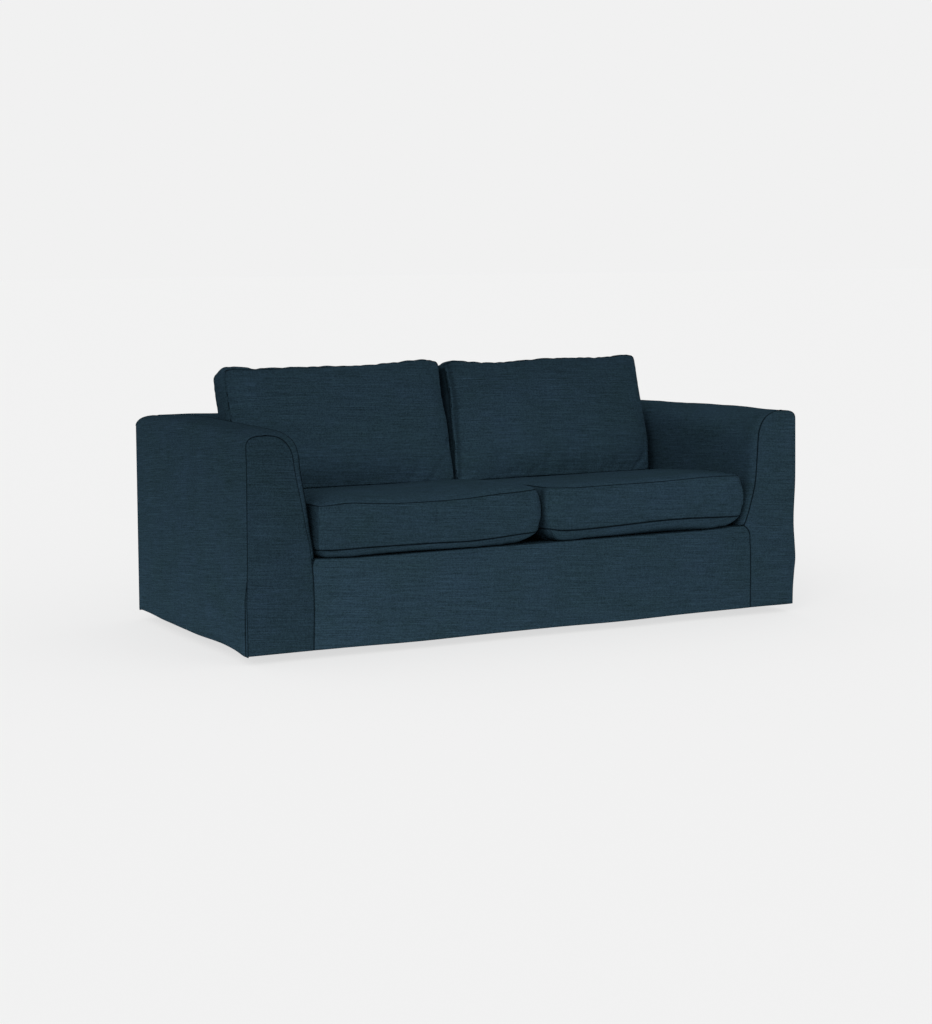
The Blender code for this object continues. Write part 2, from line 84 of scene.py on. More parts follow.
def curveAt(values, places, at):
    # smooth curve through samples along the first axis: cubic pieces with the slopes of the neighbouring samples
    slope = np.gradient(values, places, axis=0)
    i = np.clip(np.searchsorted(places, at) - 1, 0, len(places) - 2)
    shape = np.shape(at) + (1,) * (values.ndim - 1)
    h = np.reshape(places[i + 1] - places[i], shape)
    t = np.reshape(at - places[i], shape) / h
    start = values[i] * (2 * t ** 3 - 3 * t ** 2 + 1) + slope[i] * h * (t ** 3 - 2 * t ** 2 + t)
    return start + values[i + 1] * (3 * t ** 2 - 2 * t ** 3) + slope[i + 1] * h * (t ** 3 - t ** 2)


def readTable(rows, at, number):
    # the curve through one column of a table, level beyond its ends
    rows = np.array(sorted(rows), float)
    return curveAt(rows[:, number], rows[:, 0], np.clip(at, rows[0, 0], rows[-1, 0]))


def resample(values, places, at, axis):
    # the curve along one axis of an array
    return np.moveaxis(curveAt(np.moveaxis(values, axis, 0), places, at), 0, axis)


def ease(t):
    # 0 below 0, 1 above 1, and a soft S between
    t = np.clip(t, 0, 1)
    return t * t * (3 - 2 * t)


def sideX(side, inward):
    # x of a point this far in from the outer face of the left (-1) or right (1) arm
    return side * (cover["width"] / 2 - inward)


def armRise(side, y):
    # how far an arm's crown stands over its shoulder at depth y
    return readTable(crownRows, y, 1 if side < 0 else 2)


def railRise(x):
    # the same on the back rail: a straight line from arm to arm
    ends = [sideX(-1, cover["crown"]), sideX(1, cover["crown"])]
    return np.interp(x, ends, [armRise(-1, cover["depth"]), armRise(1, cover["depth"])])


def outerQuarter(angle):
    # superellipse quarter from the outer face in to the crown: how far in, what share of the way up
    power = 2 / cover["outerPower"]
    return cover["crown"] * (1 - np.cos(angle).clip(0) ** power), np.sin(angle) ** power


def innerQuarter(angle, thickness):
    # superellipse quarter from the crown line down to the shoulder
    power = 2 / cover["innerPower"]
    inward = cover["crown"] + (thickness - cover["crown"]) * np.cos(angle).clip(0) ** power
    return inward, np.sin(angle) ** power


def hemWave(panel, along, height):
    # sum of bell shapes along the hem that die away upwards: lift of the edge, swing of the cloth
    fade = np.clip(1 - height / cover["hemFade"], 0, 1) ** cover["hemPower"]
    bells = [np.exp(-(((along - middle) / half) ** 2)) * fade for middle, half, _, _ in hemWaves[panel]]
    return [sum(wave[k] * bell for wave, bell in zip(hemWaves[panel], bells)) for k in (2, 3)]


def deckHeight(x, y):
    # a plane that falls backwards, lower by the dip except beside the arms
    edge = np.clip((np.abs(x) - cover["dipFlat"]) / cover["dipEdge"], 0, 1)
    return cover["deckFront"] - cover["deckDip"] * (1 - edge) - cover["deckSlope"] * y


def cornerHeight(rise):
    # where an outer face starts to curve over
    return cover["shoulder"] + rise - cover["haunch"]


def spaced(length, step, ends=(True, True)):
    # places from 0 to length, about a step apart, and closer beside a seam at either end
    close = np.array(cover["closeSteps"])
    start = close if ends[0] else close[:1]
    stop = (length - close)[::-1] if ends[1] else length - close[:1]
    count = max(2, int(round((stop[0] - start[-1]) / step)) + 1)
    return np.concatenate([start, np.linspace(start[-1], stop[0], count)[1:-1], stop])


def shared(length, step, ends=(True, True)):
    # the same places as shares of the length
    return spaced(length, step, ends) / length


# Where the sofa carries the cover, under the middle of the back rail: the row's origin
mount = np.array([
    0.0,
    cover["depth"] - cover["crown"],
    cover["shoulder"] + float(railRise(0)) - cover["cloth"],
])


def gridNormals(points):
    # cross product of the steps along both directions of the grid, made one long
    normal = np.cross(np.gradient(points, axis=1), np.gradient(points, axis=0))
    return normal / (np.linalg.norm(normal, axis=2, keepdims=True) + 1e-12)


def runLength(points, axis):
    # length run along a grid's rows (axis 0) or columns (axis 1)
    steps = np.linalg.norm(np.diff(points, axis=axis), axis=2)
    zero = np.zeros_like(np.take(steps, [0], axis))
    return np.cumsum(np.concatenate([zero, steps], axis), axis)


def seamDistance(points, seams, joined=0.004, atOnce=1500):
    # distance from each point to the seam lines: to the nearest of their points, or to the short steps beside it
    flat = points.reshape(-1, 3)
    line = np.concatenate([s.reshape(-1, 3) for s in seams])
    found = []
    for block in np.array_split(flat, len(flat) // atOnce + 1):
        near = ((block[:, None] - line) ** 2).sum(2).argmin(1)
        off = block - line[near]
        nearest = (off ** 2).sum(1)
        for side in (-1, 1):
            way = line[(near + side).clip(0, len(line) - 1)] - line[near]
            size = (way ** 2).sum(1)
            part = np.where(size < joined ** 2, (off * way).sum(1) / (size + 1e-12), 0).clip(0, 1)
            nearest = np.minimum(nearest, ((off - way * part[:, None]) ** 2).sum(1))
        found.append(np.sqrt(nearest))
    return np.concatenate(found).reshape(points.shape[:2])


def dense(line, step=0.0025):
    # the same line with a point every step
    length = np.concatenate([[0], np.cumsum(np.linalg.norm(np.diff(line, axis=0), axis=1))])
    at = np.linspace(0, length[-1], int(length[-1] / step) + 2)
    return np.stack([np.interp(at, length, line[:, k]) for k in range(3)], 1)


def creaseField(u, v, creases):
    # soft troughs (depth below 0) and ridges: a bell across and a flat-topped bell along each
    height = np.zeros_like(u)
    for middleU, middleV, turn, half, width, depth in creases:
        c, s = math.cos(math.radians(turn)), math.sin(math.radians(turn))
        along = (u - middleU) * c + (v - middleV) * s
        across = (v - middleV) * c - (u - middleU) * s
        height += depth * np.exp(-((along / half) ** 4) - (across / width) ** 2)
    return height


# Slow unevenness of hanging cloth: the lengths of its waves, and their usual height together
slackWaves = (0.31, 0.23, 0.17, 0.13, 0.095, 0.07)
slackUsual = 0.45


def slackField(u, v, seed, size):
    # sum of crossing sine waves in seeded directions, each as high as it is long, scaled to the size
    draw = np.random.default_rng(seed)
    height = np.zeros_like(u)
    for length in slackWaves:
        turn, phase = draw.uniform(0, math.pi), draw.uniform(0, 2 * math.pi)
        height += length * np.sin((u * math.cos(turn) + v * math.sin(turn)) * 2 * math.pi / length + phase)
    return size * height / slackUsual


def gridFaces(rows, columns, keep=None):
    # four corners of each cell; keep is a mask of the cells that are cloth
    r, c = np.meshgrid(np.arange(rows - 1), np.arange(columns - 1), indexing="ij")
    first = r * columns + c
    faces = np.stack([first, first + 1, first + columns + 1, first + columns], -1)
    return faces[keep] if keep is not None else faces.reshape(-1, 4)


# Tone of each piece, partly the cloth's own and partly painted light and shade: the tone, and its change over a
# metre to the right and upwards, which paints the lower parts and the front panel's left end lighter
pieceToneAndShade = {
    "arm_wrap_left": (0.985, 0, -0.52),
    "arm_facing_left": (0.83, 0, -0.28),
    "front_panel": (1.05, -0.12, -0.25),
    "arm_facing_right": (0.95, 0, -0.1),
    "arm_wrap_right": (1.06, 0, -0.1),
    "back_cushion_left": (1.065, 0, -1.1),
    "back_cushion_right": (1.095, 0, -1.55),
    "seat_cushion_left": (0.955, 0, 0),
    "seat_cushion_right": (0.985, 0, 0),
}


def pieceToneAndShadeAt(name, points):
    # plane of tone over the piece, its given tone in the middle of its box
    tone, across, upwards = pieceToneAndShade.get(name, (1.0, 0.0, 0.0))
    middle = (points.min(0) + points.max(0)) / 2
    return tone + across * (points[:, 0] - middle[0]) + upwards * (points[:, 2] - middle[2])


def newObject(name, data):
    obj = bpy.data.objects.new(name, data)
    bpy.context.scene.collection.objects.link(obj)
    return obj


def meshFrom(name, grids, weld=0.00004):
    # welds grids into one surface in the row's frame, with cloth coordinates, seam distances and tones
    starts = np.cumsum([0] + [grid["seam"].size for grid in grids])
    points = np.concatenate([grid["points"].reshape(-1, 3) for grid in grids]) - mount
    faces = np.concatenate([grid["faces"] + start for grid, start in zip(grids, starts)])
    uvs = np.concatenate([grid["uv"].reshape(-1, 2) for grid in grids])
    seams = np.concatenate([grid["seam"].ravel() for grid in grids])
    tones = np.concatenate([(grid["tone"] + 0 * grid["seam"]).ravel() for grid in grids])
    used, renumbered = np.unique(faces, return_inverse=True)
    mesh = bpy.data.meshes.new(name + "_cloth")
    mesh.from_pydata(points[used].tolist(), [], renumbered.reshape(-1, 4).tolist())
    layer = mesh.uv_layers.new(name="cloth")
    layer.data.foreach_set("uv", uvs[faces.ravel()].ravel().astype(np.float32))
    # the tone attribute: the cloth's own tone with painted light and shade, from the piece's plane and from its
    # grids
    for label, values in (("seam", seams[used]), ("pieceToneAndShade", pieceToneAndShadeAt(name, points[used]) * tones[used])):
        mesh.attributes.new(label, "FLOAT", "POINT").data.foreach_set("value", values.astype(np.float32))
    bm = bmesh.new()
    bm.from_mesh(mesh)
    bmesh.ops.remove_doubles(bm, verts=bm.verts, dist=weld)
    bm.to_mesh(mesh)
    bm.free()
    mesh.shade_smooth()
    return newObject(name + "_cloth", mesh)


def pieceArea(obj):
    # sum of its faces before they get their thickness
    area = np.zeros(len(obj.data.polygons), np.float32)
    obj.data.polygons.foreach_get("area", area)
    return float(area.sum())


seamLook = {
    "rollDepth": 0.0016,     # how deep and how wide the cloth rolls in beside a seam
    "rollWidth": 0.0065,
    "pucker": 0.00015,       # height, start, reach and two lengths of the puckers beside it
    "puckerFrom": 0.006,
    "puckerReach": 0.02,
    "puckerLengths": (0.021, 0.083),
    "puckerSlant": 0.6,
    "calm": 0.03,            # within this, creases and slack die away
    "sewnShare": 0.7,        # share of both panels' moves that the sewn edges of a cushion make
    "shadeEnds": 0.05,       # over what part of a side a band's shade comes in, and how near to the seam it stops
    "shadeEdge": 0.004,
}
# how far the weave is moved on from one cloth to the next: sheets, cushions, and the panels of a cushion
apart = {"sheets": 0.83, "cushions": 1.7, "panels": 1.3}
# seeds of the cloths' slack, to which left and right add a number of their own
seeds = {"arm_wrap": 3, "arm_facing": 7, "front_panel": 12, "seat_deck": 15, "inside_back": 18, "outside_back": 21,
         "seat_cushion": 31, "back_cushion": 51}


def turned(u, v, degrees):
    # the cloth's own coordinates, with its weft turned a little out of the horizontal
    c, s = math.cos(math.radians(degrees)), math.sin(math.radians(degrees))
    return np.stack([u * c + v * s, v * c - u * s], -1)


def sewnPush(u, v, distance, creases, slack, seed):
    # how far the cloth stands out: creases and slack that fade towards a seam, plus puckers (product of two sines
    # under a bell), less the roll down into the seam (a parabola)
    short, long = seamLook["puckerLengths"]
    push = (creaseField(u, v, creases) + slackField(u, v, seed, slack)) * ease(distance / seamLook["calm"])
    slanted = u + seamLook["puckerSlant"] * v
    ripple = np.sin(slanted * 2 * math.pi / short + seed) * np.sin((u - v) * 2 * math.pi / long + 2 * seed)
    near = np.exp(-((distance / seamLook["puckerReach"]) ** 2)) * ease(distance / seamLook["puckerFrom"])
    push += seamLook["pucker"] * ripple * near
    return push - seamLook["rollDepth"] * np.clip(1 - distance / seamLook["rollWidth"], 0, 1) ** 2


def clothPanel(name, points, outward, seams, creases, slack, seed, keep=None, cut=None, grain=0.0, lines=(),
               shades=()):
    # one cloth: the grid pushed along its normals, with its thickness on the hidden side. Outward is the side that
    # its lower part faces, cut where each point lies on the flat cloth, grain how far its weft is off the level.
    # Lines are welts and tucks: path, height, width, share of a seam's width of painted shadow that they carry.
    uv = u, v = runLength(points, 1), runLength(points, 0)
    normal = gridNormals(points)
    inward = normal[len(points) // 4, points.shape[1] // 2] @ np.array(outward, float) < 0
    distance = seamDistance(points, [dense(line) for line in seams])
    push = sewnPush(u, v, distance, creases, slack, seed)
    for path, height, width, share in lines:
        beside = seamDistance(points, [dense(path)])
        push += height * np.exp(-((beside / width) ** 2))
        distance = np.minimum(distance, beside / share)
    push *= -1 if inward else 1
    faces = gridFaces(*points.shape[:2], keep)
    obj = meshFrom(name, [{
        "points": points + normal * push[..., None],
        "faces": faces[:, ::-1] if inward else faces,
        "uv": turned(*(uv if cut is None else np.moveaxis(cut, -1, 0)), grain) + apart["sheets"] * seed,
        "seam": distance,
        "tone": 1 + creaseField(u, v, shades),
    }])
    wall = obj.modifiers.new("cloth thickness", "SOLIDIFY")
    wall.thickness = cover["cloth"]
    wall.offset = -1
    wall.use_even_offset = False
    wall.use_rim = True
    return obj


print("cover: sizes read")


# An arm's wrap is its outer face, top and inner face in one cloth
armSizes = {
    # height, left, right, back thickness; how far the padding stands past the front seam, left and right
    "inner": (
        (0.52, 0.146, 0.143, 0.175, 0.0305, 0.021), (0.45, 0.161, 0.1465, 0.18, 0.028, 0.018),
        (0.39, 0.173, 0.151, 0.186, 0.0245, 0.017), (0.33, 0.1845, 0.166, 0.192, 0.021, 0.016),
        (0.29, 0.1935, 0.178, 0.198, 0.02, 0.014), (0.26, 0.1965, 0.1915, 0.205, 0.018, 0.014),
    ),
    # share of the padding round the top, by angle up from the shoulder
    "round": ((90, 0, 0), (72, 0.72, 0.3), (54, 1.02, 0.65), (36, 1.08, 0.9), (18, 1.04, 1), (0, 1, 1)),
    # seam with the front panel below the deck
    "lower": (
        (0.26, 0.1965, 0.1915), (0.25, 0.1972, 0.179), (0.236, 0.1988, 0.1705), (0.21, 0.201, 0.168),
        (0.17, 0.203, 0.165), (0.11, 0.2035, 0.1637), (0.05, 0.2025, 0.163), (0, 0.2015, 0.1625),
    ),
    # how far the upright front seam strays from straight
    "stray": (
        (0, 0, 0.0015), (0.05, 0, 0.002), (0.105, 0.0012, 0.0058), (0.14, 0.002, 0.009),
        (0.197, 0.0004, 0.005), (0.24, -0.0008, 0.0008), (0.4, -0.0018, 0.0028), (0.52, -0.002, 0.0005),
        (0.58, -0.001, -0.001),
    ),
    "strayReach": 0.1,       # how far back that reaches
    "outerFill": 0.002,      # swell of the outer face
    "calm": 0.05,            # beside its seams, swell and waves die away over this
    "rows": {"face": 65, "turn": 12, "rear": 10, "inner": 24, "side": 32},
    "closer": ((0, 2, 0.5), (2, 10, 0.125)),  # rows past the crown that lie closer on the left arm: from, to, step
    "turnedOver": 13,        # rows past the crown where the weft has turned over
    "innerRounds": 6,        # how often the inner side's rows are evened out
    "padLength": 0.011,      # how fast the padding fills out behind the front seam
    "edgeBehind": 0.012,     # on the left arm it fills out up to a welt this far behind the seam
    "edgeShare": 0.7,        # with this share of its fullness, and the rest within this reach
    "edgeReach": 0.03,
    "edgeBend": 0.2,         # how much faster it starts than it goes on, and where it stops
    "edgeEnd": 3,
    "edgeBlend": 0.006,      # roundness of the step from one to the other
    "notch": 0.01,           # the front panel's corner is cut off by this much beside the left arm
    "notchRise": 0.02,
    "notchReach": 1.2,       # how far back that reaches, in widths of the strip up to the welt
    # the welt's way from the deck up and back along the top: degrees from the crown, distance behind the edge
    "welt": ((210, 0.0008), (150, 0.001), (110, 0.0012), (90, 0.0016), (70, 0.0034), (58, 0.0058), (47, 0.0102),
             (38.5, 0.0156), (30.5, 0.032), (24, 0.052), (21.1, 0.085), (19.8, 0.145), (19.3, 0.25), (19, 0.4),
             (18.4, 0.54), (15.6, 0.65), (12, 0.74), (9, 0.78)),
    # welt and fold: height, width, and share of a seam's width of painted shadow along them
    "weltLook": (0.0012, 0.003, 2.6),
    "weltPoints": 240,
    # slack fold beside the left arm's front seam: its line by height and depth, and a dent round it
    "fold": ((0, 0.0155), (0.08, 0.0168), (0.15, 0.016), (0.172, 0.012), (0.19, 0.006), (0.205, 0.0022)),
    "foldLook": (-0.0016, 0.0035, 1.9),
    "foldHeight": 0.125,
    "foldHalf": 0.06,
    "foldIn": 0.016,
    "foldShare": 0.6,
    "foldDepth": 0.0015,
    "step": 0.0085,
    "slack": 0.0006,
    # columns of points where the padding's edge, the welt and the fold run
    "edgeColumns": (0.0086, 0.0118, 0.0133, 0.0168, 0.019, 0.0215, 0.0265),
    "grain": {-1: -7, 1: 5.2},  # how far the weft is off the level, in degrees
    # creases: u (from the front seam), v (up from the hem), turn in degrees, half length, width, depth; and shades,
    # laid out in the same way with a change of tone, which paint shade on the right arm's inner side near the front
    "creases": {
        -1: ((0.06, 0.15, 84, 0.06, 0.01, 0.0012), (0.3, 0.38, 12, 0.16, 0.03, -0.0009),
             (0.52, 0.22, -70, 0.12, 0.035, -0.001)),
        1: ((0.055, 0.16, 86, 0.06, 0.012, 0.001), (0.4, 0.3, 20, 0.15, 0.03, -0.001)),
    },
    "shades": {-1: (), 1: ((0.02, 0.83, 90, 0.14, 0.035, -0.13),)},
}


def outerFace(side, y, height):
    # the flat outer face, swung by the hem's waves, the stray seam and the slack fold
    lift, swing = hemWave("left" if side < 0 else "right", y, height)
    stray = readTable(armSizes["stray"], height, 1 if side < 0 else 2) * np.exp(-y / armSizes["strayReach"])
    fill = armSizes["outerFill"] * np.sin(math.pi * np.clip(y / cover["depth"], 0, 1))
    slack = 0.0
    if side < 0:
        along = (height - armSizes["foldHeight"]) / armSizes["foldHalf"]
        across = (y - armSizes["foldIn"]) / (armSizes["foldShare"] * armSizes["foldIn"])
        slack = -armSizes["foldDepth"] * np.exp(-along ** 2 - across ** 2)
    calm = ease(y / armSizes["calm"]) * ease((cover["depth"] - y) / armSizes["calm"])
    out = stray + slack + (swing + fill) * calm
    return sideX(side, -out), height + lift


def innerRows(side):
    # rows of an arm's inner side from below the crown to the deck: thickness of the arm and of the back, padding,
    # share of the rise, and height at the front
    arm = 1 if side < 0 else 2
    angles = np.radians(np.linspace(90, 0, armSizes["rows"]["inner"]))[1:]
    heights = np.linspace(cover["shoulder"], cover["deckFront"], armSizes["rows"]["side"])[1:]
    table = armSizes["inner"]
    top = table[0]
    turn = readTable(armSizes["round"], np.degrees(angles), arm)
    inwardTop, share = innerQuarter(angles, top[arm])
    backTop, _ = innerQuarter(angles, top[3])
    inward = np.concatenate([inwardTop, readTable(table, heights, arm)])
    back = np.concatenate([backTop, readTable(table, heights, 3)])
    pad = np.concatenate([top[arm + 3] * turn, readTable(table, heights, arm + 3)])
    share = np.concatenate([share, np.zeros(len(heights))])
    front = np.concatenate([np.full(len(angles), cover["shoulder"]), heights])
    for values in (inward, back, pad):
        for _ in range(armSizes["innerRounds"]):
            values[1:-1] = (values[:-2] + 2 * values[1:-1] + values[2:]) / 4
    return inward, back, pad, share, front


def padFill(side, y):
    # share of the padding at depth y: 1 - exp(-y) on the right arm; on the left the lesser of a steep strip and a
    # slow swell, rounded where they cross
    behind = np.clip(y - cover["seamIn"], 0, None)
    if side > 0:
        return 1 - np.exp(-behind / armSizes["padLength"])
    edge, share = armSizes["edgeBehind"], armSizes["edgeShare"]
    bend = armSizes["edgeBend"]
    t = np.minimum(behind / edge, armSizes["edgeEnd"])
    strip = share * t * (1 + bend - bend * t)
    rest = share + (1 - share) * (1 - np.exp(-(behind - edge) / armSizes["edgeReach"]))
    return np.clip((strip + rest - np.sqrt((strip - rest) ** 2 + armSizes["edgeBlend"])) / 2, 0, None)


def innerPoints(side, rows, y):
    # points of the inner side at depths y (rows, columns)
    inward, _, pad, share, front = (value[:, None] for value in rows)
    filled = pad * padFill(side, y)
    floor = deckHeight(sideX(side, inward), y) - cover["lap"]
    down = (cover["shoulder"] - front) / (cover["shoulder"] - cover["deckFront"])
    if side < 0:
        reach = armSizes["notchReach"] * armSizes["edgeBehind"]
        floor = floor - armSizes["notchRise"] * np.clip(1 - y / reach, 0, 1)
    z = cover["shoulder"] + armRise(side, y) * share - down * (cover["shoulder"] - floor)
    return np.stack([sideX(side, inward + filled), y, z], -1)


def weltLine(points, crownRow, start):
    # smooth curve through the welt's table: on the row at each of its degrees, the point that lies as far behind
    # the padding's edge as it says
    way = np.array(armSizes["welt"])
    way = resample(way, np.arange(len(way)), np.linspace(0, len(way) - 1, armSizes["weltPoints"]), 0)
    behind = start + armSizes["edgeBehind"] + way[:, 1]
    step = 90 / (armSizes["rows"]["inner"] - 1)   # degrees between the rows round the top
    path = (crownRow + way[:, 0] / step).clip(0, len(points) - 1)
    line = resample(points, np.arange(len(points)), path, 0)
    columns = np.arange(points.shape[1])
    column = np.array([np.interp(here, line[k, :, 1], columns) for k, here in enumerate(behind)])
    low = np.floor(column).astype(int).clip(0, len(columns) - 2)
    part = (column - low)[:, None]
    pick = np.arange(len(path))
    return line[pick, low] * (1 - part) + line[pick, low + 1] * part


def foldLine(side):
    # the slack fold's table laid on the outer face
    height, y = np.array(armSizes["fold"]).T
    x, z = outerFace(side, y, height)
    return np.stack([x, y, z], -1)


def armWrap(side):
    # rows go from the hem up the outer face, round the top and down the inner side to the deck; columns from the
    # front seam back, and on the outer face on round the rear edge
    name = "arm_wrap_left" if side < 0 else "arm_wrap_right"
    depth, crown, haunch = cover["depth"], cover["crown"], cover["haunch"]
    start = cover["seamIn"] - cover["lap"]
    straight = depth - crown - start
    shares = np.union1d(spaced(straight, armSizes["step"], (True, False)), armSizes["edgeColumns"]) / straight
    columns = len(shares)
    rearInward, rearRoll = outerQuarter(np.radians(np.linspace(90, 0, armSizes["rows"]["rear"]))[1:])
    y = np.concatenate([start + shares * straight, depth - rearInward])[None]
    roll = np.concatenate([np.ones(columns), rearRoll])[None]
    corner = cornerHeight(armRise(side, y))
    faceX, faceZ = outerFace(side, y, np.linspace(0, 1, armSizes["rows"]["face"] + 1)[:-1, None] * corner)
    face = np.stack([faceX, np.broadcast_to(y, faceX.shape), faceZ], -1)
    inward, share = outerQuarter(np.radians(np.linspace(0, 90, armSizes["rows"]["turn"]))[:, None])
    footX, footZ = outerFace(side, y, corner)
    topX = sideX(side, inward) + (footX - sideX(side, 0)) * (1 - inward / crown)
    top = np.stack([topX, np.broadcast_to(y, topX.shape), footZ + haunch * share * roll], -1)
    inner = innerRows(side)
    ends = depth - inner[1][:, None] + cover["lap"]
    inside = innerPoints(side, inner, start + shares * (ends - start))
    spare = np.repeat(inside[:, -1:], len(rearInward), axis=1)
    points = np.concatenate([face, top, np.concatenate([inside, spare], 1)])
    crownRow = len(face) + len(top) - 1
    lines = []
    if side < 0:
        lines.append((weltLine(points[:, :columns], crownRow, start), *armSizes["weltLook"]))
        lines.append((foldLine(side), *armSizes["foldLook"]))
        # closer rows round the top, where the welt runs
        rows = np.arange(len(points))
        closer = [crownRow + np.arange(*part) for part in armSizes["closer"]]
        finer = np.concatenate([rows[:crownRow], *closer, rows[crownRow + armSizes["closer"][-1][1]:]])
        points = resample(points, rows, finer, 0)
        crownRow = int(np.searchsorted(finer, crownRow))
    r, c = np.meshgrid(np.arange(len(points) - 1), np.arange(points.shape[1] - 1), indexing="ij")
    keep = (c < columns - 1) | (r < crownRow)
    seams = [points[:, 0], points[:crownRow + 1, -1], points[crownRow, columns - 1:],
             points[crownRow + 1:, columns - 1], points[-1, :columns]]
    # the weft is level on the outer face and on the inner side: it turns over between them
    past = ease((np.arange(len(points)) - len(face)) / (crownRow - len(face) + armSizes["turnedOver"]))[:, None]
    z = points[..., 2]
    run = runLength(points, 0).mean(1, keepdims=True) + (1 - 2 * past) * (z - z.mean(1, keepdims=True))
    cut = np.stack([np.broadcast_to(points[:1, :, 1], run.shape), run], -1)
    return clothPanel(name, points, (side, 0, 0), seams, armSizes["creases"][side], armSizes["slack"],
                      seeds["arm_wrap"] + side, keep, cut, armSizes["grain"][side], lines, armSizes["shades"][side])


facingLooks = {
    "width": 0.19,
    "step": 0.008,
    "turnRows": 14,
    "full": 0.18,            # fullness in its middle, as a share of its width squared, from this height up
    "fullFrom": 0.1,
    "slack": 0.0004,
    "grain": -3.8,
    "creases": {
        -1: ((0.05, 0.44, 70, 0.08, 0.02, -0.0008), (0.12, 0.1, 84, 0.07, 0.022, -0.0008)),
        1: ((0.04, 0.4, 80, 0.1, 0.02, -0.0007), (0.09, 0.17, 60, 0.06, 0.018, 0.0009)),
    },
}


def facingEdges(side):
    # outer and inner edge of a facing from the hem to the crown, with as many points each
    arm = 1 if side < 0 else 2
    rows = innerRows(side)
    inward, share, front = rows[0][::-1], rows[3][::-1], rows[4][::-1]
    heights = spaced(cover["deckFront"], facingLooks["step"], (False, False))[:-1]
    lowX = readTable(armSizes["lower"], heights, arm)
    riseHere = float(armRise(side, 0))
    innerX = np.concatenate([lowX, inward, [cover["crown"]]])
    innerZ = np.concatenate([heights, front + riseHere * share, [cover["shoulder"] + riseHere]])
    inner = np.stack([sideX(side, innerX), innerZ], -1)
    turns = np.radians(np.linspace(0, 90, facingLooks["turnRows"]))
    corner = float(cornerHeight(riseHere))
    straight = np.linspace(0, corner, len(inner) - len(turns) + 1)[:-1]
    straightX, _ = outerFace(side, 0.0, straight)
    turnIn, turnShare = outerQuarter(turns)
    stray = (outerFace(side, 0.0, corner)[0] - sideX(side, 0)) * (1 - turnIn / cover["crown"])
    outer = np.concatenate([
        np.stack([straightX, straight], -1),
        np.stack([sideX(side, turnIn) + stray, corner + cover["haunch"] * turnShare], -1),
    ])
    return outer, inner


def armFacing(side):
    # straight across between its two edges, and fuller in the middle by a parabola that grows with its width
    name = "arm_facing_left" if side < 0 else "arm_facing_right"
    outer, inner = facingEdges(side)
    t = shared(facingLooks["width"], facingLooks["step"])[None]
    wide = inner[:, :1] - outer[:, :1]
    x = outer[:, :1] + wide * t
    z = outer[:, 1:] + (inner[:, 1:] - outer[:, 1:]) * t
    lift, swing = hemWave("front", x, z)
    fill = facingLooks["full"] * wide ** 2 * (1 - (2 * t - 1) ** 2) * ease(z / facingLooks["fullFrom"])
    points = np.stack([x, -fill - swing * 4 * t * (1 - t), z + lift], -1)
    return clothPanel(name, points, (0, -1, 0), [points[:, 0], points[:, -1]], facingLooks["creases"][side],
                      facingLooks["slack"], seeds["arm_facing"] + side, cut=points[..., ::2],
                      grain=facingLooks["grain"])


frontLooks = {
    "width": 1.47,
    "steps": (0.009, 0.008),  # across and up
    "full": 0.003,
    "calm": 0.06,            # share of its width at either end where fullness and waves die away
    "slack": 0.0007,
    "grain": -4.3,
    "creases": (
        (0.17, 0.17, 60, 0.07, 0.025, -0.001), (0.62, 0.12, 15, 0.18, 0.03, -0.0008),
        (1.1, 0.15, -12, 0.16, 0.03, -0.0008), (1.36, 0.16, 75, 0.07, 0.022, -0.001),
    ),
}


def frontPanel():
    # between the facings, from the hem to the front edge of the deck, with half a sine of fullness in its height
    height = spaced(cover["deckFront"], frontLooks["steps"][1], (False, True))[:, None]
    left = sideX(-1, readTable(armSizes["lower"], height, 1)) - cover["lap"]
    right = sideX(1, readTable(armSizes["lower"], height, 2)) + cover["lap"]
    t = shared(frontLooks["width"], frontLooks["steps"][0])[None]
    left = left + armSizes["notch"] * np.clip((height - cover["deckFront"]) / armSizes["notchRise"] + 1, 0, 1)
    x = left + (right - left) * t
    z = height * (deckHeight(x, 0.0) / cover["deckFront"])
    lift, swing = hemWave("front", x, height)
    inside = ease(np.minimum(t, 1 - t) / frontLooks["calm"])
    fill = frontLooks["full"] * inside * np.sin(math.pi * height / cover["deckFront"])
    points = np.stack([x, -fill - swing * inside, z + lift], -1)
    return clothPanel("front_panel", points, (0, -1, 0), [points[:, 0], points[:, -1], points[-1]],
                      frontLooks["creases"], frontLooks["slack"], seeds["front_panel"], cut=points[..., ::2],
                      grain=frontLooks["grain"])


# The deck, the inside back with the rail's top, and the outside back: steps between points across and up
hiddenLooks = {
    "deckStep": 0.018,
    "insideColumns": 120,
    "outsideSteps": (0.014, 0.012),
    "outsideHeight": 0.58,
    "under": 0.0008,         # how far the outside back ends under the rail's edge
    "calm": 0.08,
    "slack": 0.001,
    "creases": ((0.45, 0.3, 75, 0.16, 0.035, -0.0015), (1.05, 0.26, 92, 0.14, 0.04, -0.0014),
                (1.52, 0.34, 66, 0.13, 0.03, -0.0012)),
}


def seatDeck():
    # the deck's plane between the feet of the arms' inner sides
    leftRows = innerRows(-1)
    rear = cover["depth"] - leftRows[1][-1] + cover["lap"]
    start = cover["seamIn"] - cover["lap"]
    y = (start + spaced(rear - start, hiddenLooks["deckStep"]))[:, None]
    left, right = (
        innerPoints(side, [value[-1:] for value in rows], y.T)[0, :, :1] + side * cover["tuck"]
        for side, rows in ((-1, leftRows), (1, innerRows(1)))
    )
    t = shared(frontLooks["width"], hiddenLooks["deckStep"])[None]
    x = left + (right - left) * t
    points = np.stack([x, np.broadcast_to(y, x.shape), deckHeight(x, y)], -1)
    seams = [points[0], points[-1], points[:, 0], points[:, -1]]
    return clothPanel("seat_deck", points, (0, 0, 1), seams, (), 0.0, seeds["seat_deck"])


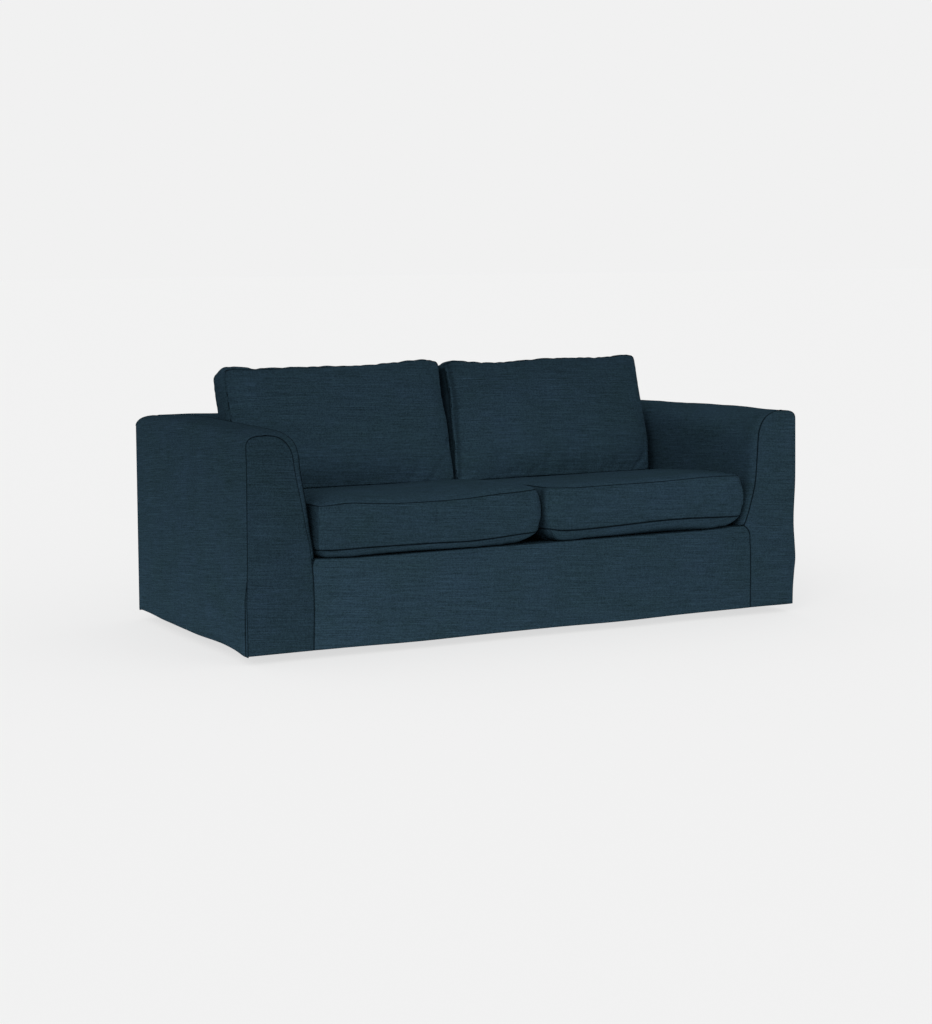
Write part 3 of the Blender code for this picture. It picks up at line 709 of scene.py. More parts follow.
def insideBack():
    # straight across from arm to arm up the inside of the back, then over the rail and down to the rear seam
    leftRows = innerRows(-1)
    t = (0.5 - 0.5 * np.cos(math.pi * np.linspace(0, 1, hiddenLooks["insideColumns"])))[None]
    ends = []
    for side, rows in ((-1, leftRows), (1, innerRows(1))):
        edge = innerPoints(side, rows, cover["depth"] - rows[1][:, None])[::-1]
        edge[..., 0] += side * cover["lap"]
        ends.append(edge)
    inside = ends[0] + (ends[1] - ends[0]) * t[..., None]
    down = ((cover["shoulder"] - leftRows[4]) / (cover["shoulder"] - cover["deckFront"]))[::-1][:, None]
    floor = deckHeight(inside[..., 0], inside[..., 1]) - cover["lap"]
    level = cover["shoulder"] - down * (cover["shoulder"] - floor)
    inside[..., 2] = np.where(down > 0, level, inside[..., 2])
    inward, share = outerQuarter(np.radians(np.linspace(90, 0, armSizes["rows"]["turn"]))[:, None])
    x = (cover["width"] / 2 - cover["crown"] + cover["lap"]) * (2 * t - 1)
    railZ = cornerHeight(railRise(x)) + cover["haunch"] * share
    rail = np.stack(np.broadcast_arrays(x, cover["depth"] - inward, railZ), -1)
    points = np.concatenate([inside, rail])
    seams = [points[0], points[-1], points[:, 0], points[:, -1]]
    return clothPanel("inside_back", points, (0, -1, 0.3), seams, (), hiddenLooks["slack"], seeds["inside_back"])


def outsideBack():
    # upright from the hem to the rear seam, swung by the hem's waves
    half = cover["width"] / 2 - cover["seamIn"]
    t = shared(2 * half, hiddenLooks["outsideSteps"][0])[None]
    x = half * (2 * t - 1)
    height = shared(hiddenLooks["outsideHeight"], hiddenLooks["outsideSteps"][1], (False, True))[:, None]
    height = height * (cornerHeight(railRise(x)) - hiddenLooks["under"])
    lift, swing = hemWave("back", x, height)
    swing = swing * ease(np.minimum(t, 1 - t) / hiddenLooks["calm"])
    points = np.stack(np.broadcast_arrays(x, cover["depth"] + swing, height + lift), -1)
    return clothPanel("outside_back", points, (0, 1, 0), [points[:, 0], points[:, -1], points[-1]],
                      hiddenLooks["creases"], hiddenLooks["slack"], seeds["outside_back"], cut=points[..., ::2])


seatSizes = {
    "left": {"left": -0.713, "right": 0.01, "front": -0.006, "rear": 0.64, "crown": 0.021, "sole": 0.032,
             "dent": 0, "seams": 1, "corners": (140, 17), "soleEnds": (0.09, 0.37), "inset": 0.006,
             "bulge": (0.0045, 0.01, 0.006), "spread": 9},
    "right": {"left": 0.0312, "right": 0.736, "front": -0.005, "rear": 0.64, "crown": 0.004, "sole": 0.046,
              "dent": 0.005, "seams": 3, "corners": (36, 20), "soleEnds": (0.19, 0.36), "inset": 0.009,
              "bulge": (0.01, 0.01, 0.006), "spread": 5},
}
seatShape = {
    "usual": 0.7,            # share of the width where the rear seams take their height from
    "arch": 0.006,           # rise of the top seams between front and rear
    "dentFrom": 0.33,        # depth where the back cushion's dent starts
    "pressedFrom": 0.49,     # depth from which the back cushion holds the swelling down
    "swell": 0.02,           # most that the swollen top stands over its shape in front of that
    "dentReach": 0.2,        # over how much depth the dent and the hold come in
    "pressedReach": 0.05,
    "beside": 0.01,          # how far beside its sides a cushion's top still counts
    # powers of the curves: the crown's fall to front and rear and its roundness, the dent's fall, the fall to the
    # sides, the crown's share near the seams, the rear ends of the boxing, the sole's ends, its front and rear
    "fall": 3, "round": 0.8, "dentFall": 6, "sides": 0.4, "fullness": (17, 0.2), "insetFall": 4, "soleRound": 1.6,
    "soleFall": 14, "soleEdge": 0.35,
}
# heights of the front seams across the width: share, left top, left low, right top, right low
seatSeams = (
    (0, 0.409, 0.2835, 0.419, 0.2951), (0.07, 0.4105, 0.281, 0.4167, 0.2885),
    (0.13, 0.4128, 0.2812, 0.4148, 0.287), (0.22, 0.4079, 0.2815, 0.415, 0.2878),
    (0.36, 0.403, 0.281, 0.4156, 0.291), (0.53, 0.402, 0.2795, 0.416, 0.2955),
    (0.66, 0.4042, 0.2775, 0.4185, 0.2967), (0.79, 0.4104, 0.2815, 0.421, 0.2947),
    (0.89, 0.4132, 0.2865, 0.4205, 0.2925), (1, 0.4175, 0.289, 0.4175, 0.2905),
)


def crowd(t, power=1.7):
    # moves even values in -1..1 towards the ends, where a cushion curves most
    return np.sign(t) * (1 - (1 - np.abs(t)) ** power)


def rounded(a, b, power):
    # pulls a point of the square -1..1 in, so that its outline becomes a rounded one
    reach = np.maximum(np.maximum(np.abs(a), np.abs(b)), 1e-9)
    length = (np.abs(a / reach) ** power + np.abs(b / reach) ** power) ** (1 / power)
    length = np.maximum(length, 1e-9)
    return a / length, b / length


def full(a, b, power, edge):
    # share of a panel's crown at a point: 1 in the middle and 0 on the seam
    return (np.clip(1 - np.abs(a) ** power, 0, 1) * np.clip(1 - np.abs(b) ** power, 0, 1)) ** edge


def seatSeam(size, x, y, above):
    # height of the top or bottom seam: uneven in front, straighter towards the rear
    number = size["seams"] + (0 if above else 1)
    here = readTable(seatSeams, (x - size["left"]) / (size["right"] - size["left"]), number)
    usual = readTable(seatSeams, seatShape["usual"], number)
    depth = np.clip((y - size["front"]) / (size["rear"] - size["front"]), 0, 1)
    height = usual + (here - usual) * (1 - depth) - cover["deckSlope"] * (y - size["front"])
    return height + (4 * seatShape["arch"] * depth * (1 - depth) if above else 0.0)


def seatCrown(size, x, y):
    # how far the top stands over its seam
    a = np.clip(np.abs(2 * (x - size["left"]) / (size["right"] - size["left"]) - 1), 0, 1)
    b = np.clip(np.abs(2 * (y - size["front"]) / (size["rear"] - size["front"]) - 1), 0, 1)
    pressed = size["dent"] * ease((y - seatShape["dentFrom"]) / seatShape["dentReach"])
    rise = size["crown"] * (1 - b ** seatShape["fall"]) ** seatShape["round"]
    return (rise - pressed * (1 - b ** seatShape["dentFall"])) * (1 - a ** size["spread"]) ** seatShape["sides"]


def ringOf(a, b):
    # the border of a grid, once round, ending where it starts
    def side(values):
        return np.concatenate([values[0, :-1], values[:-1, -1], values[-1, :0:-1], values[::-1, 0]])
    return side(a), side(b)


def ringPlaces(across, along):
    # places of the same border points: 0 to 4, one for each side
    ahead, up = (across + 1) / 2, (along + 1) / 2
    return np.concatenate([ahead[:-1], 1 + up[:-1], 2 + ahead[:-1], 3 + up])


def panelPoints(place, across, along, deep):
    # the points of a cushion's face, boxing band and hidden side, and the face's two parameters
    a, b = np.meshgrid(across, along)
    ringA, ringB = ringOf(a, b)
    band = place(ringA[None], ringB[None], deep[:, None], "band")
    return a, b, [place(a, b, None, "face"), band, place(a, b, None, "back")]


# The filling: an even net of each cushion is blown up by Cloth with its seams held, and its swelling is added
# to the fine shape
filling = {"pressure": 4, "frames": 20, "quality": 5, "spare": -0.03, "stiffness": 9, "shear": 3,
           "bending": 0.35, "mass": 0.3}


def fillOut(name, place, looks):
    # how far each point of the even net moves, panel by panel: cap x tanh(move / cap), so no more than the cap
    cap = looks["cap"]
    _, _, panels = panelPoints(place, *(np.linspace(-1, 1, n) for n in looks["net"]))
    points = np.concatenate([panel.reshape(-1, 3) for panel in panels])
    starts = np.cumsum([0] + [panel[..., 0].size for panel in panels])
    faces = np.concatenate([gridFaces(*panel.shape[:2]) + start for panel, start in zip(panels, starts)])
    _, first, merged = np.unique(np.round(points, 5), axis=0, return_index=True, return_inverse=True)
    merged = merged.ravel()
    net = bpy.data.meshes.new(name + "_net")
    net.from_pydata(points[first].tolist(), [], merged[faces].tolist())
    bm = bmesh.new()
    bm.from_mesh(net)
    bmesh.ops.recalc_face_normals(bm, faces=bm.faces)
    bm.to_mesh(net)
    bm.free()
    obj = newObject(name + "_net", net)
    around = np.arange(panels[1].shape[1])
    held = starts[1] + np.concatenate([around, panels[1][..., 0].size - 1 - around])
    obj.vertex_groups.new(name="seams").add(np.unique(merged[held]).tolist(), 1, "REPLACE")
    swell = obj.modifiers.new("filling", "CLOTH")
    swell.collision_settings.use_collision = False
    cloth = swell.settings
    cloth.quality = filling["quality"]
    cloth.mass = filling["mass"]
    cloth.tension_stiffness = cloth.compression_stiffness = filling["stiffness"]
    cloth.shear_stiffness = filling["shear"]
    cloth.bending_stiffness = filling["bending"]
    cloth.use_pressure = True
    cloth.uniform_pressure_force = filling["pressure"]
    cloth.shrink_min = filling["spare"]
    cloth.vertex_group_mass = "seams"
    cloth.effector_weights.gravity = 0
    for frameNumber in range(1, filling["frames"] + 1):
        bpy.context.scene.frame_set(frameNumber)
    blown = obj.evaluated_get(bpy.context.evaluated_depsgraph_get()).to_mesh()
    moved = np.zeros(len(blown.vertices) * 3, np.float32)
    blown.vertices.foreach_get("co", moved)
    bpy.context.scene.frame_set(1)
    bpy.data.objects.remove(obj)
    bpy.data.meshes.remove(net)
    move = moved.reshape(-1, 3)[merged] - points
    size = np.linalg.norm(move, axis=1, keepdims=True) + 1e-9
    move *= cap * np.tanh(size / cap) / size
    most = float(np.linalg.norm(move, axis=1).max()) * 1000
    print("filling:", name, len(first), "points, moved", round(most, 1), "mm")
    return [move[start:stop].reshape(panel.shape) for panel, start, stop in zip(panels, starts, starts[1:])]


def clothCoordinates(panel, points, places, looks):
    # where each point lies on the flat cloth: across and along a face, and round and up the boxing band
    along, up = points @ looks["along"], points @ looks["up"]
    u, v = points[..., 0], along
    if panel == "back":
        # the weft's rows go on evenly over the steep borders, on either side of each column's deepest point
        before = np.arange(len(up))[:, None] < up.argmin(0)
        v = v + (up - up.min(0)) * np.where(before, -1, 1)
    if panel == "band":
        u, v = runLength(points, 1), up
        if "sidesLevel" in looks:
            # on the boxing's ends the weft runs level from front to back, on its top and foot from side to side
            onEnd = places % 2 >= 1
            u, v = points[..., 0] + onEnd * up, along + ~onEnd * up
    return u - u.min(), v - v.min()


def cushion(name, place, limit, under, looks, seed):
    # closed cushion of three welded grids: face, boxing band and hidden side. Each point is its place plus the
    # filling's swelling, pushed along the normal by creases, puckers and seam rolls. Under gives the height of what
    # it rests on, where a painted contact shadow darkens its tone by a bell over the clearance.
    across, along, deep = (crowd(np.linspace(-1, 1, n)) for n in looks["points"])
    a, b, panels = panelPoints(place, across, along, deep)
    evenA, evenB, evenC = (np.linspace(-1, 1, n) for n in looks["net"])
    swell = fillOut(name, place, looks)
    calm = (1 - (a * b) ** 4)[..., None]
    for number in (0, 2):
        move = resample(resample(swell[number], evenA, across, 1), evenB, along, 0)
        panels[number] = panels[number] + calm * move
    round1, round2 = ringPlaces(evenA, evenB), ringPlaces(across, along)
    panels[1] = panels[1] + resample(resample(swell[1], round1, round2, 1), evenC, deep, 0)
    face, band, back = panels
    seams = [dense(band[0]), dense(band[-1])]
    places = ringPlaces(across, along)
    front = min((band[0], band[-1]), key=lambda line: np.linalg.norm(line[0] - face[0, 0]))
    start, stop = looks.get("plain", (5, 5))
    dark = [seams[1] if front is band[0] else seams[0]]
    dark += [dense(front[part]) for part in (places <= start, places >= stop) if part.sum() > 1]
    middle = np.mean([face.mean((0, 1)), back.mean((0, 1))], 0)
    names, moves, grids = ("face", "band", "back"), [], []
    for number, (panel, points) in enumerate(zip(names, panels)):
        u, v = clothCoordinates(panel, points, places, looks)
        distance = seamDistance(points, seams)
        normal = gridNormals(points)
        inward = np.mean(np.sum(normal * (points - middle), 2)) < 0
        push = sewnPush(u, v, distance, looks.get(panel, ()), looks["slack"], seed + number)
        # faceTone and backTone: on a seat cushion, painted light on the top and painted shade on the sole
        tone = looks.get(panel + "Tone", 1) + creaseField(u, v, looks.get(panel + "Shades", ()))
        # edges: strokes beside the front seam, with painted shade in grooves and along the foot and a painted
        # highlight on a bead
        for first, last, offset, width, depth, paintedShading in looks.get("edges", ()):
            beside = seamDistance(points, [dense(front[(places >= first) & (places <= last)])])
            stroke = np.exp(-(((beside - offset) / width) ** 2))
            push += depth * stroke
            tone = tone + paintedShading * stroke
        if panel == "band":
            # the band's shaded stretch: painted shade on the side that lies in the gap between the cushions
            first, last, paintedShading = looks.get("shaded", (0, 0, 0))
            ends = ease((places - first) / seamLook["shadeEnds"]) * ease((last - places) / seamLook["shadeEnds"])
            tone = tone + paintedShading * ends * ease(distance / seamLook["shadeEdge"])
        moves.append(normal * (push * (-1 if inward else 1))[..., None])
        faces = gridFaces(*points.shape[:2])
        moved = apart["panels"] * number
        grids.append({
            "faces": faces[:, ::-1] if inward else faces,
            "uv": turned(u + moved + apart["cushions"] * seed, v + moved, looks["grain"]),
            "seam": seamDistance(points, dark) if "plain" in looks else distance,
            "tone": tone,
        })
    # along a seam both panels make a share of both moves, so their edges stay sewn together
    rim, _ = ringOf(*[np.arange(a.size).reshape(a.shape)] * 2)
    moves[1][:, 0] = moves[1][:, -1] = (moves[1][:, 0] + moves[1][:, -1]) / 2
    joints = ((0, 0), (-1, 2)) if front is band[0] else ((-1, 0), (0, 2))   # row of the band, panel sewn to it
    for row, panel in joints:
        moves[1][row] = seamLook["sewnShare"] * (moves[1][row] + moves[panel].reshape(-1, 3)[rim])
    sewn = [limit(points + move, panel) for points, move, panel in zip(panels, moves, names)]
    sewn[1][:, -1] = sewn[1][:, 0]
    for row, panel in joints:
        sewn[panel].reshape(-1, 3)[rim] = sewn[1][row]
    # painted contact shadow: the tone falls by a bell over the clearance above what the cushion rests on
    reach, contactShadow = looks["rest"]
    for grid, points in zip(grids, sewn):
        clear = points[..., 2] - under(points[..., 0], points[..., 1])
        grid["points"] = points
        grid["tone"] = grid["tone"] * (1 - contactShadow * np.exp(-((clear / reach) ** 2)))
    obj = meshFrom(name, grids)
    finer = obj.modifiers.new("finer", "SUBSURF")
    finer.levels = finer.render_levels = 1
    return obj


def seatCushion(which):
    # a rounded rectangle between its front, rear and side lines. Height runs from the lower to the upper seam, the
    # crown is added on top and the sole hangs below; the band bulges out by a parabola.
    size = seatSizes[which]
    left, right, front = size["bulge"]

    def place(a, b, c, panel):
        c = {"face": 1, "back": -1}.get(panel, c)
        p, q = rounded(a, b, np.where(a < 0, *size["corners"]))
        inset = size["inset"] * (c + 1) / 2 * np.clip(p, 0, 1) ** seatShape["insetFall"]
        x0 = size["left"] + (size["right"] - size["left"]) * (p + 1) / 2 - inset
        y0 = size["front"] + (size["rear"] - size["front"]) * (q + 1) / 2
        low, high = seatSeam(size, x0, y0, False), seatSeam(size, x0, y0, True)
        z = low + (high - low) * (c + 1) / 2
        if panel == "face":
            z = z + seatCrown(size, x0, y0) * full(a, b, *seatShape["fullness"])
        if panel == "back":
            power = seatShape["soleRound"]
            ends = [(1 - (1 - np.clip(t / reach, 0, 1)) ** power) ** (1 / power)
                    for t, reach in zip((1 + a, 1 - a), size["soleEnds"])]
            depth = np.clip(1 - np.abs(b) ** seatShape["soleFall"], 0, 1) ** seatShape["soleEdge"]
            z = z - size["sole"] * ends[0] * ends[1] * depth
        band = 1 - c * c
        x = x0 + np.where(p < 0, left, right) * band * p
        y = y0 + front * band * q
        return np.stack([x, y, np.maximum(z, deckHeight(x, y) + cover["stand"])], -1)

    def limit(points, panel):
        # rests on the deck, and stays between its neighbours
        x, y, z = np.moveaxis(points, -1, 0)
        x = x.clip(size["left"] - left, size["right"] + right)
        y = np.minimum(y, size["rear"] + front)
        z = np.maximum(z, deckHeight(x, y) + cover["stand"])
        if panel == "face":
            pressed = ease((y - seatShape["pressedFrom"]) / seatShape["pressedReach"])
            z = np.minimum(z, seatTop(x, y) + seatShape["swell"] * (1 - pressed))
        return np.stack([x, y, z], -1)

    seed = seeds["seat_cushion"] + size["seams"]
    return cushion("seat_cushion_" + which, place, limit, deckHeight, seatLooks[which], seed)


# Looks of a seat cushion. Creases of its band are as on the arms, u and v from its front left corner. The filling
# moves a point by the cap at most; rest is the reach and the depth of a painted contact shadow over what the
# cushion lies on. Its top is made lighter as painted light and its sole darker as painted shade.
seatCloth = {"slack": 0.0006, "grain": -3.5, "up": (0, 0, 1), "along": (0, 1, 0), "faceTone": 1.17, "backTone": 0.92,
             "rest": (0.0045, 0.85), "points": (76, 70, 20), "net": (57, 51, 12), "cap": 0.006}
seatLooks = {
    "left": {**seatCloth, "band": ((0.1, 0.075, 80, 0.05, 0.03, -0.001), (0.46, 0.06, 20, 0.14, 0.022, -0.0008))},
    "right": {**seatCloth, "band": ((0.24, 0.06, 74, 0.05, 0.03, -0.001), (0.55, 0.07, -15, 0.14, 0.022, -0.0008))},
}

backSizes = {
    "left": {"foot": 0.372, "outer": -1, "edge": 1, "top": 1, "lift": (0.0225, 0.0185), "tuck": 0.006,
             "puff": 0.008},
    "right": {"foot": 0.37, "outer": 1, "edge": 3, "top": 2, "lift": (0.017, 0.0165), "tuck": 0, "puff": 0},
    "sides": (0.006, 0.0025),  # how far the boxing bulges on the outer and on the inner side
    "corners": (36, 22),     # roundness of the lower and the upper corners
    "rest": 0.0008,          # clearance over the seat
    "crown": 0.03,           # swelling of the face, and of the hidden side
    "rearCrown": 0.034,
    "fullness": (2.4, 0.7),  # powers of the swelling of the face, and of the hidden side
    "rearFullness": (3, 0.7),
    "footFall": 6,           # powers of the curves: lift of the foot and tuck of the top, and the top's bulge
    "topFall": 8,
    "topBulge": 0.004,
    "puffAt": -0.55,         # middle and half width of the puff in the band's depth, and its reach along the top
    "puffHalf": 0.4,
    "puffReach": 0.55,
    "lean": math.radians(18.0),
    "seamY": 0.572,
    "seamZ": 0.604,
    "band": 0.092,
}
# side edges of the front seams by height: left cushion's two, right cushion's two
backEdges = (
    (0.385, -0.722, -0.011, -0.0035, 0.712), (0.44, -0.727, -0.0095, 0.001, 0.7205),
    (0.49, -0.731, -0.01, 0.006, 0.7265), (0.53, -0.735, -0.008, 0.008, 0.7275),
    (0.575, -0.736, -0.007, 0.011, 0.7255), (0.62, -0.7365, -0.0105, 0.0154, 0.725),
    (0.66, -0.7365, -0.0121, 0.0187, 0.7245), (0.7, -0.737, -0.0095, 0.0172, 0.725),
    (0.76, -0.738, -0.005, 0.0125, 0.727),
)
# their top edges across the width: share, left, right
backTops = (
    (0, 0.7625, 0.7615), (0.1, 0.7558, 0.7555), (0.2, 0.7536, 0.7495), (0.3, 0.7534, 0.7485),
    (0.45, 0.7528, 0.7535), (0.6, 0.7532, 0.7558), (0.7, 0.7548, 0.7555), (0.8, 0.759, 0.7533),
    (0.88, 0.7625, 0.7553), (0.95, 0.764, 0.7602), (1, 0.764, 0.7635),
)


def seatTop(x, y):
    # height of the highest seat cushion under each point
    best = np.zeros_like(x)
    for which in ("left", "right"):
        size = seatSizes[which]
        on = (x >= size["left"] - seatShape["beside"]) & (x <= size["right"] + seatShape["beside"])
        best = np.where(on, np.maximum(best, seatSeam(size, x, y, True) + seatCrown(size, x, y)), best)
    return best


def backCushion(which):
    # a rounded rectangle between its edges' tables, on a plane that leans back: x across, climb up the plane from
    # the foot, depth behind it. Face and hidden side swell by a share of their crown, the band by a parabola.
    size, lean = backSizes[which], backSizes["lean"]
    outer, foot, edge = size["outer"], size["foot"], size["edge"]
    up = np.array([0, math.sin(lean), math.cos(lean)])
    out = np.array([0, -math.cos(lean), math.sin(lean)])
    base = np.array([0, backSizes["seamY"] - (backSizes["seamZ"] - foot) * math.tan(lean), foot])
    bulges = backSizes["sides"][::outer * -1]

    def sides(height, band=1.0):
        # x of its left and right side, bulged out by a share of the band's fullness
        return [readTable(backEdges, height, edge + k) + (2 * k - 1) * band * bulges[k] for k in (0, 1)]

    def place(a, c, b, panel):
        b = {"face": -1.0, "back": 1.0}.get(panel, b)
        p, q = rounded(a, c, np.where(c > 0, *backSizes["corners"][::-1]))
        band = 1 - b * b
        top = readTable(backTops, (p + 1) / 2, size["top"])
        ahead = ((1 - b) / 2) ** backSizes["footFall"]
        lift = np.interp(p, (-1, 1), size["lift"]) * ahead
        height = foot + lift + (top - foot - lift) * (q + 1) / 2
        left, right = sides(height, band)
        puff = size["puff"] * np.exp(-(((b - backSizes["puffAt"]) / backSizes["puffHalf"]) ** 2))
        puff = (puff - size["tuck"] * ahead) * np.exp(-(((p + 1) / backSizes["puffReach"]) ** 2))
        bulge = (backSizes["topBulge"] * band + puff) * np.clip(q, 0, 1) ** backSizes["topFall"]
        climb = (height - foot) / math.cos(lean) + bulge
        depth = backSizes["band"] * (b + 1) / 2 + np.zeros_like(p)
        if panel == "face":
            depth = depth - backSizes["crown"] * full(a, c, *backSizes["fullness"])
        if panel == "back":
            depth = depth + backSizes["rearCrown"] * full(a, c, *backSizes["rearFullness"])
        point = base + up * climb[..., None] - out * depth[..., None]
        point[..., 0] = left + (right - left) * (p + 1) / 2
        return limit(point, panel)

    def limit(points, panel):
        # rests on the seat, and stays between its neighbours
        x, y, z = np.moveaxis(points, -1, 0)
        x = x.clip(*sides(z))
        return np.stack([x, y, np.maximum(z, seatTop(x, y) + backSizes["rest"])], -1)

    return cushion("back_cushion_" + which, place, limit, seatTop, backLooks[which], seeds["back_cushion"] + edge)


# Looks of a back cushion. Places on its seams count from the foot's left end: 0 foot, 1 right side, 2 top, 3 left
# side. Creases are as on the arms, u and v from the lower left corner. Edges follow the front seam: first and last
# place, distance from it, width, depth and change of tone, which paints shade in a groove and along the foot and a
# highlight on a bead. The plain stretch of the front seam has no dark line, the shaded stretch of the band is
# darkened as painted shade, and rest paints a contact shadow along the foot.
backCloth = {"slack": 0.0008, "grain": -2.5, "up": (0, -0.951, 0.309), "along": (0, 0.309, 0.951),
             "sidesLevel": True, "rest": (0.004, 0.6), "points": (80, 54, 18), "net": (61, 35, 10), "cap": 0.008}
backLooks = {
    "left": {
        **backCloth, "plain": (1.02, 2.1),
        "face": (
            (0.7, 0.2, 88, 0.1, 0.016, -0.0012), (0.69, 0.11, 70, 0.03, 0.01, -0.001),
            (0.655, 0.345, 25, 0.05, 0.016, 0.0016), (0.2, 0.09, 12, 0.16, 0.03, -0.001),
        ),
        "edges": ((1.04, 2, 0.01, 0.007, -0.0006, -0.03),),
    },
    "right": {
        **backCloth, "plain": (3.02, 3.98),
        "face": (
            (0.024, 0.255, 60, 0.022, 0.01, -0.0022), (0.028, 0.135, 110, 0.024, 0.011, -0.0022),
            (0.2, 0.02, 24, 0.06, 0.007, -0.0022), (0.29, 0.03, 35, 0.05, 0.008, -0.0018),
            (0.47, 0.11, -8, 0.16, 0.03, -0.001),
        ),
        "edges": ((3.04, 3.97, 0.012, 0.0075, -0.0048, -0.34), (3.04, 3.97, 0.0018, 0.0022, 0.0008, 0.5),
                  (0.27, 0.5, 0.001, 0.0045, -0.0005, -0.45)),
        "shaded": (3.03, 4.2, -0.25),
    },
}


# Cloth: colours as linear red, green, blue, and the bluer one of its slubs; how strong slubs, grain and slow patches
# are; roughness, sheen and bump; width and depth of the dark line of a seam
clothLook = {
    "colour": (0.0178, 0.0363, 0.0512), "slubColour": (0.0187, 0.0364, 0.0584), "Slub": 0.56, "Grain": 0.48,
    "Patch": 0.14, "roughness": 0.88, "sheen": 0.002, "sheenRoughness": 0.5, "sheenTint": (0.55, 0.8, 1, 1),
    "bump": 0.5, "bumpHeight": 0.0006,
}
seamLines = {"panel": (0.002, 0.86), "seat_cushion": (0.0021, 0.86), "back_cushion": (0.0023, 0.84)}


def feed(tree, sockets, inputs):
    # gives sockets their values, or joins them to the outputs given for them
    for label, value in inputs.items():
        if isinstance(value, bpy.types.NodeSocket):
            tree.links.new(value, sockets[label])
        else:
            sockets[label].default_value = value


def addNode(tree, kind, inputs, output=0, **settings):
    # one output, or all of them, of a new node with these settings and inputs
    node = tree.nodes.new("ShaderNode" + kind)
    for label, value in settings.items():
        setattr(node, label, value)
    feed(tree, node.inputs, inputs)
    return node.outputs if output is None else node.outputs[output]


def newGroup(name, inputs, outputs):
    group = bpy.data.node_groups.new(name, "ShaderNodeTree")
    for label, value in inputs.items():
        kind = "NodeSocketVector" if value is None else "NodeSocketFloat"
        socket = group.interface.new_socket(label, in_out="INPUT", socket_type=kind)
        if value is not None:
            socket.default_value = value
    for label in outputs:
        group.interface.new_socket(label, in_out="OUTPUT", socket_type="NodeSocketFloat")
    return group, group.nodes.new("NodeGroupInput").outputs, group.nodes.new("NodeGroupOutput").inputs


def combine(tree, operation, *values):
    # one number after the other added, multiplied and so on
    result = values[0]
    for value in values[1:]:
        result = addNode(tree, "Math", {0: result, 1: value}, operation=operation)
    return result


def stretched(tree, vector, scale, detail=0.0):
    # noise on a vector scaled apart along the weft and the warp
    mapped = addNode(tree, "Mapping", {"Vector": vector, "Scale": (*scale, 1)})
    looks = {"Vector": mapped, "Scale": 1, "Detail": detail, "Roughness": 0.5}
    return addNode(tree, "TexNoise", looks, noise_dimensions="2D")


def remap(tree, value, low, high, outLow=0.0, outHigh=1.0):
    # soft S from one range to another
    ranges = {"Value": value, "From Min": low, "From Max": high, "To Min": outLow, "To Max": outHigh}
    return addNode(tree, "MapRange", ranges, interpolation_type="SMOOTHSTEP")


# Scales of the weave, in waves a metre along the weft and the warp; the threads' cells in metres. Shares are those
# of each noise in the tone, and of the slubs and yarns in the height.
weave = {
    "long": (5, 380), "short": (20, 420), "bright": (7, 360), "brightFrom": 0.64, "brightTo": 0.84,
    "warp": (420, 12), "thread": (0.003, 0.0023, 1), "patch": (5, 8), "yarns": {"Y": 190, "X": 210},
    "shortShare": 0.6, "brightShare": 0.4, "warpShare": 0.35, "yarnHeight": 0.25, "longHeight": 0.8,
    "shortHeight": 0.5, "yarnWander": 0.6,
}


def slubWeave():
    # tone (about 1) and height of plain-woven yarn. Tone is the sum of slubs along the weft (u), finer weft and
    # warp yarns, single threads and slow patches, each a noise less its middle, and a few bright slubs where a
    # noise is high. Height is the sum of two crossing waves and the slubs.
    group, into, out = newGroup("slub weave", {"Vector": None, "Slub": 0.6, "Grain": 0.5, "Patch": 0.1},
                                ("Tone", "Tint", "Height"))
    vector = into["Vector"]
    long = stretched(group, vector, weave["long"], 1.0)
    short = stretched(group, vector, weave["short"])
    bright = remap(group, stretched(group, vector, weave["bright"]), weave["brightFrom"], weave["brightTo"])
    warp = stretched(group, vector, weave["warp"])
    cells = addNode(group, "VectorMath", {0: vector, 1: weave["thread"]}, operation="SNAP")
    thread = addNode(group, "TexWhiteNoise", {"Vector": cells}, "Value", noise_dimensions="2D")
    patch = stretched(group, vector, weave["patch"], 1.0)

    def less(value, share):
        return combine(group, "MULTIPLY", combine(group, "SUBTRACT", value, 0.5), share)

    glint = combine(group, "MULTIPLY", bright, weave["brightShare"])
    slubs = combine(group, "ADD", less(long, 1.0), less(short, weave["shortShare"]), glint)
    grains = combine(group, "ADD", less(thread, 1.0), less(warp, weave["warpShare"]))
    parts = [combine(group, "MULTIPLY", value, into[label])
             for value, label in ((slubs, "Slub"), (grains, "Grain"), (less(patch, 1.0), "Patch"))]
    looks = {"Vector": vector, "Distortion": weave["yarnWander"], "Detail": 1}
    yarns = [addNode(group, "TexWave", {**looks, "Scale": scale}, 1, bands_direction=direction)
             for direction, scale in weave["yarns"].items()]
    yarn = combine(group, "MULTIPLY", combine(group, "ADD", *yarns), weave["yarnHeight"])
    bumps = combine(group, "ADD", less(long, weave["longHeight"]), less(short, weave["shortHeight"]))
    for label, value in (
        ("Tone", combine(group, "ADD", *parts, 1.0)),
        ("Tint", combine(group, "ADD", less(short, 1.0), less(patch, 1.0))),
        ("Height", combine(group, "ADD", yarn, bumps)),
    ):
        group.links.new(value, out[label])
    return group


def seamShadow():
    # share of light left in the crease of a seam: 1 less a bell over the distance from it in metres
    group, into, out = newGroup("seam shadow", {"Distance": 1.0, "Width": 0.002, "Depth": 0.7}, ("Light",))
    ratio = combine(group, "DIVIDE", into["Distance"], into["Width"])
    bell = addNode(group, "Math", {0: combine(group, "MULTIPLY", ratio, ratio, -1.0)}, operation="EXPONENT")
    light = combine(group, "SUBTRACT", 1.0, combine(group, "MULTIPLY", bell, into["Depth"]))
    group.links.new(light, out["Light"])
    return group


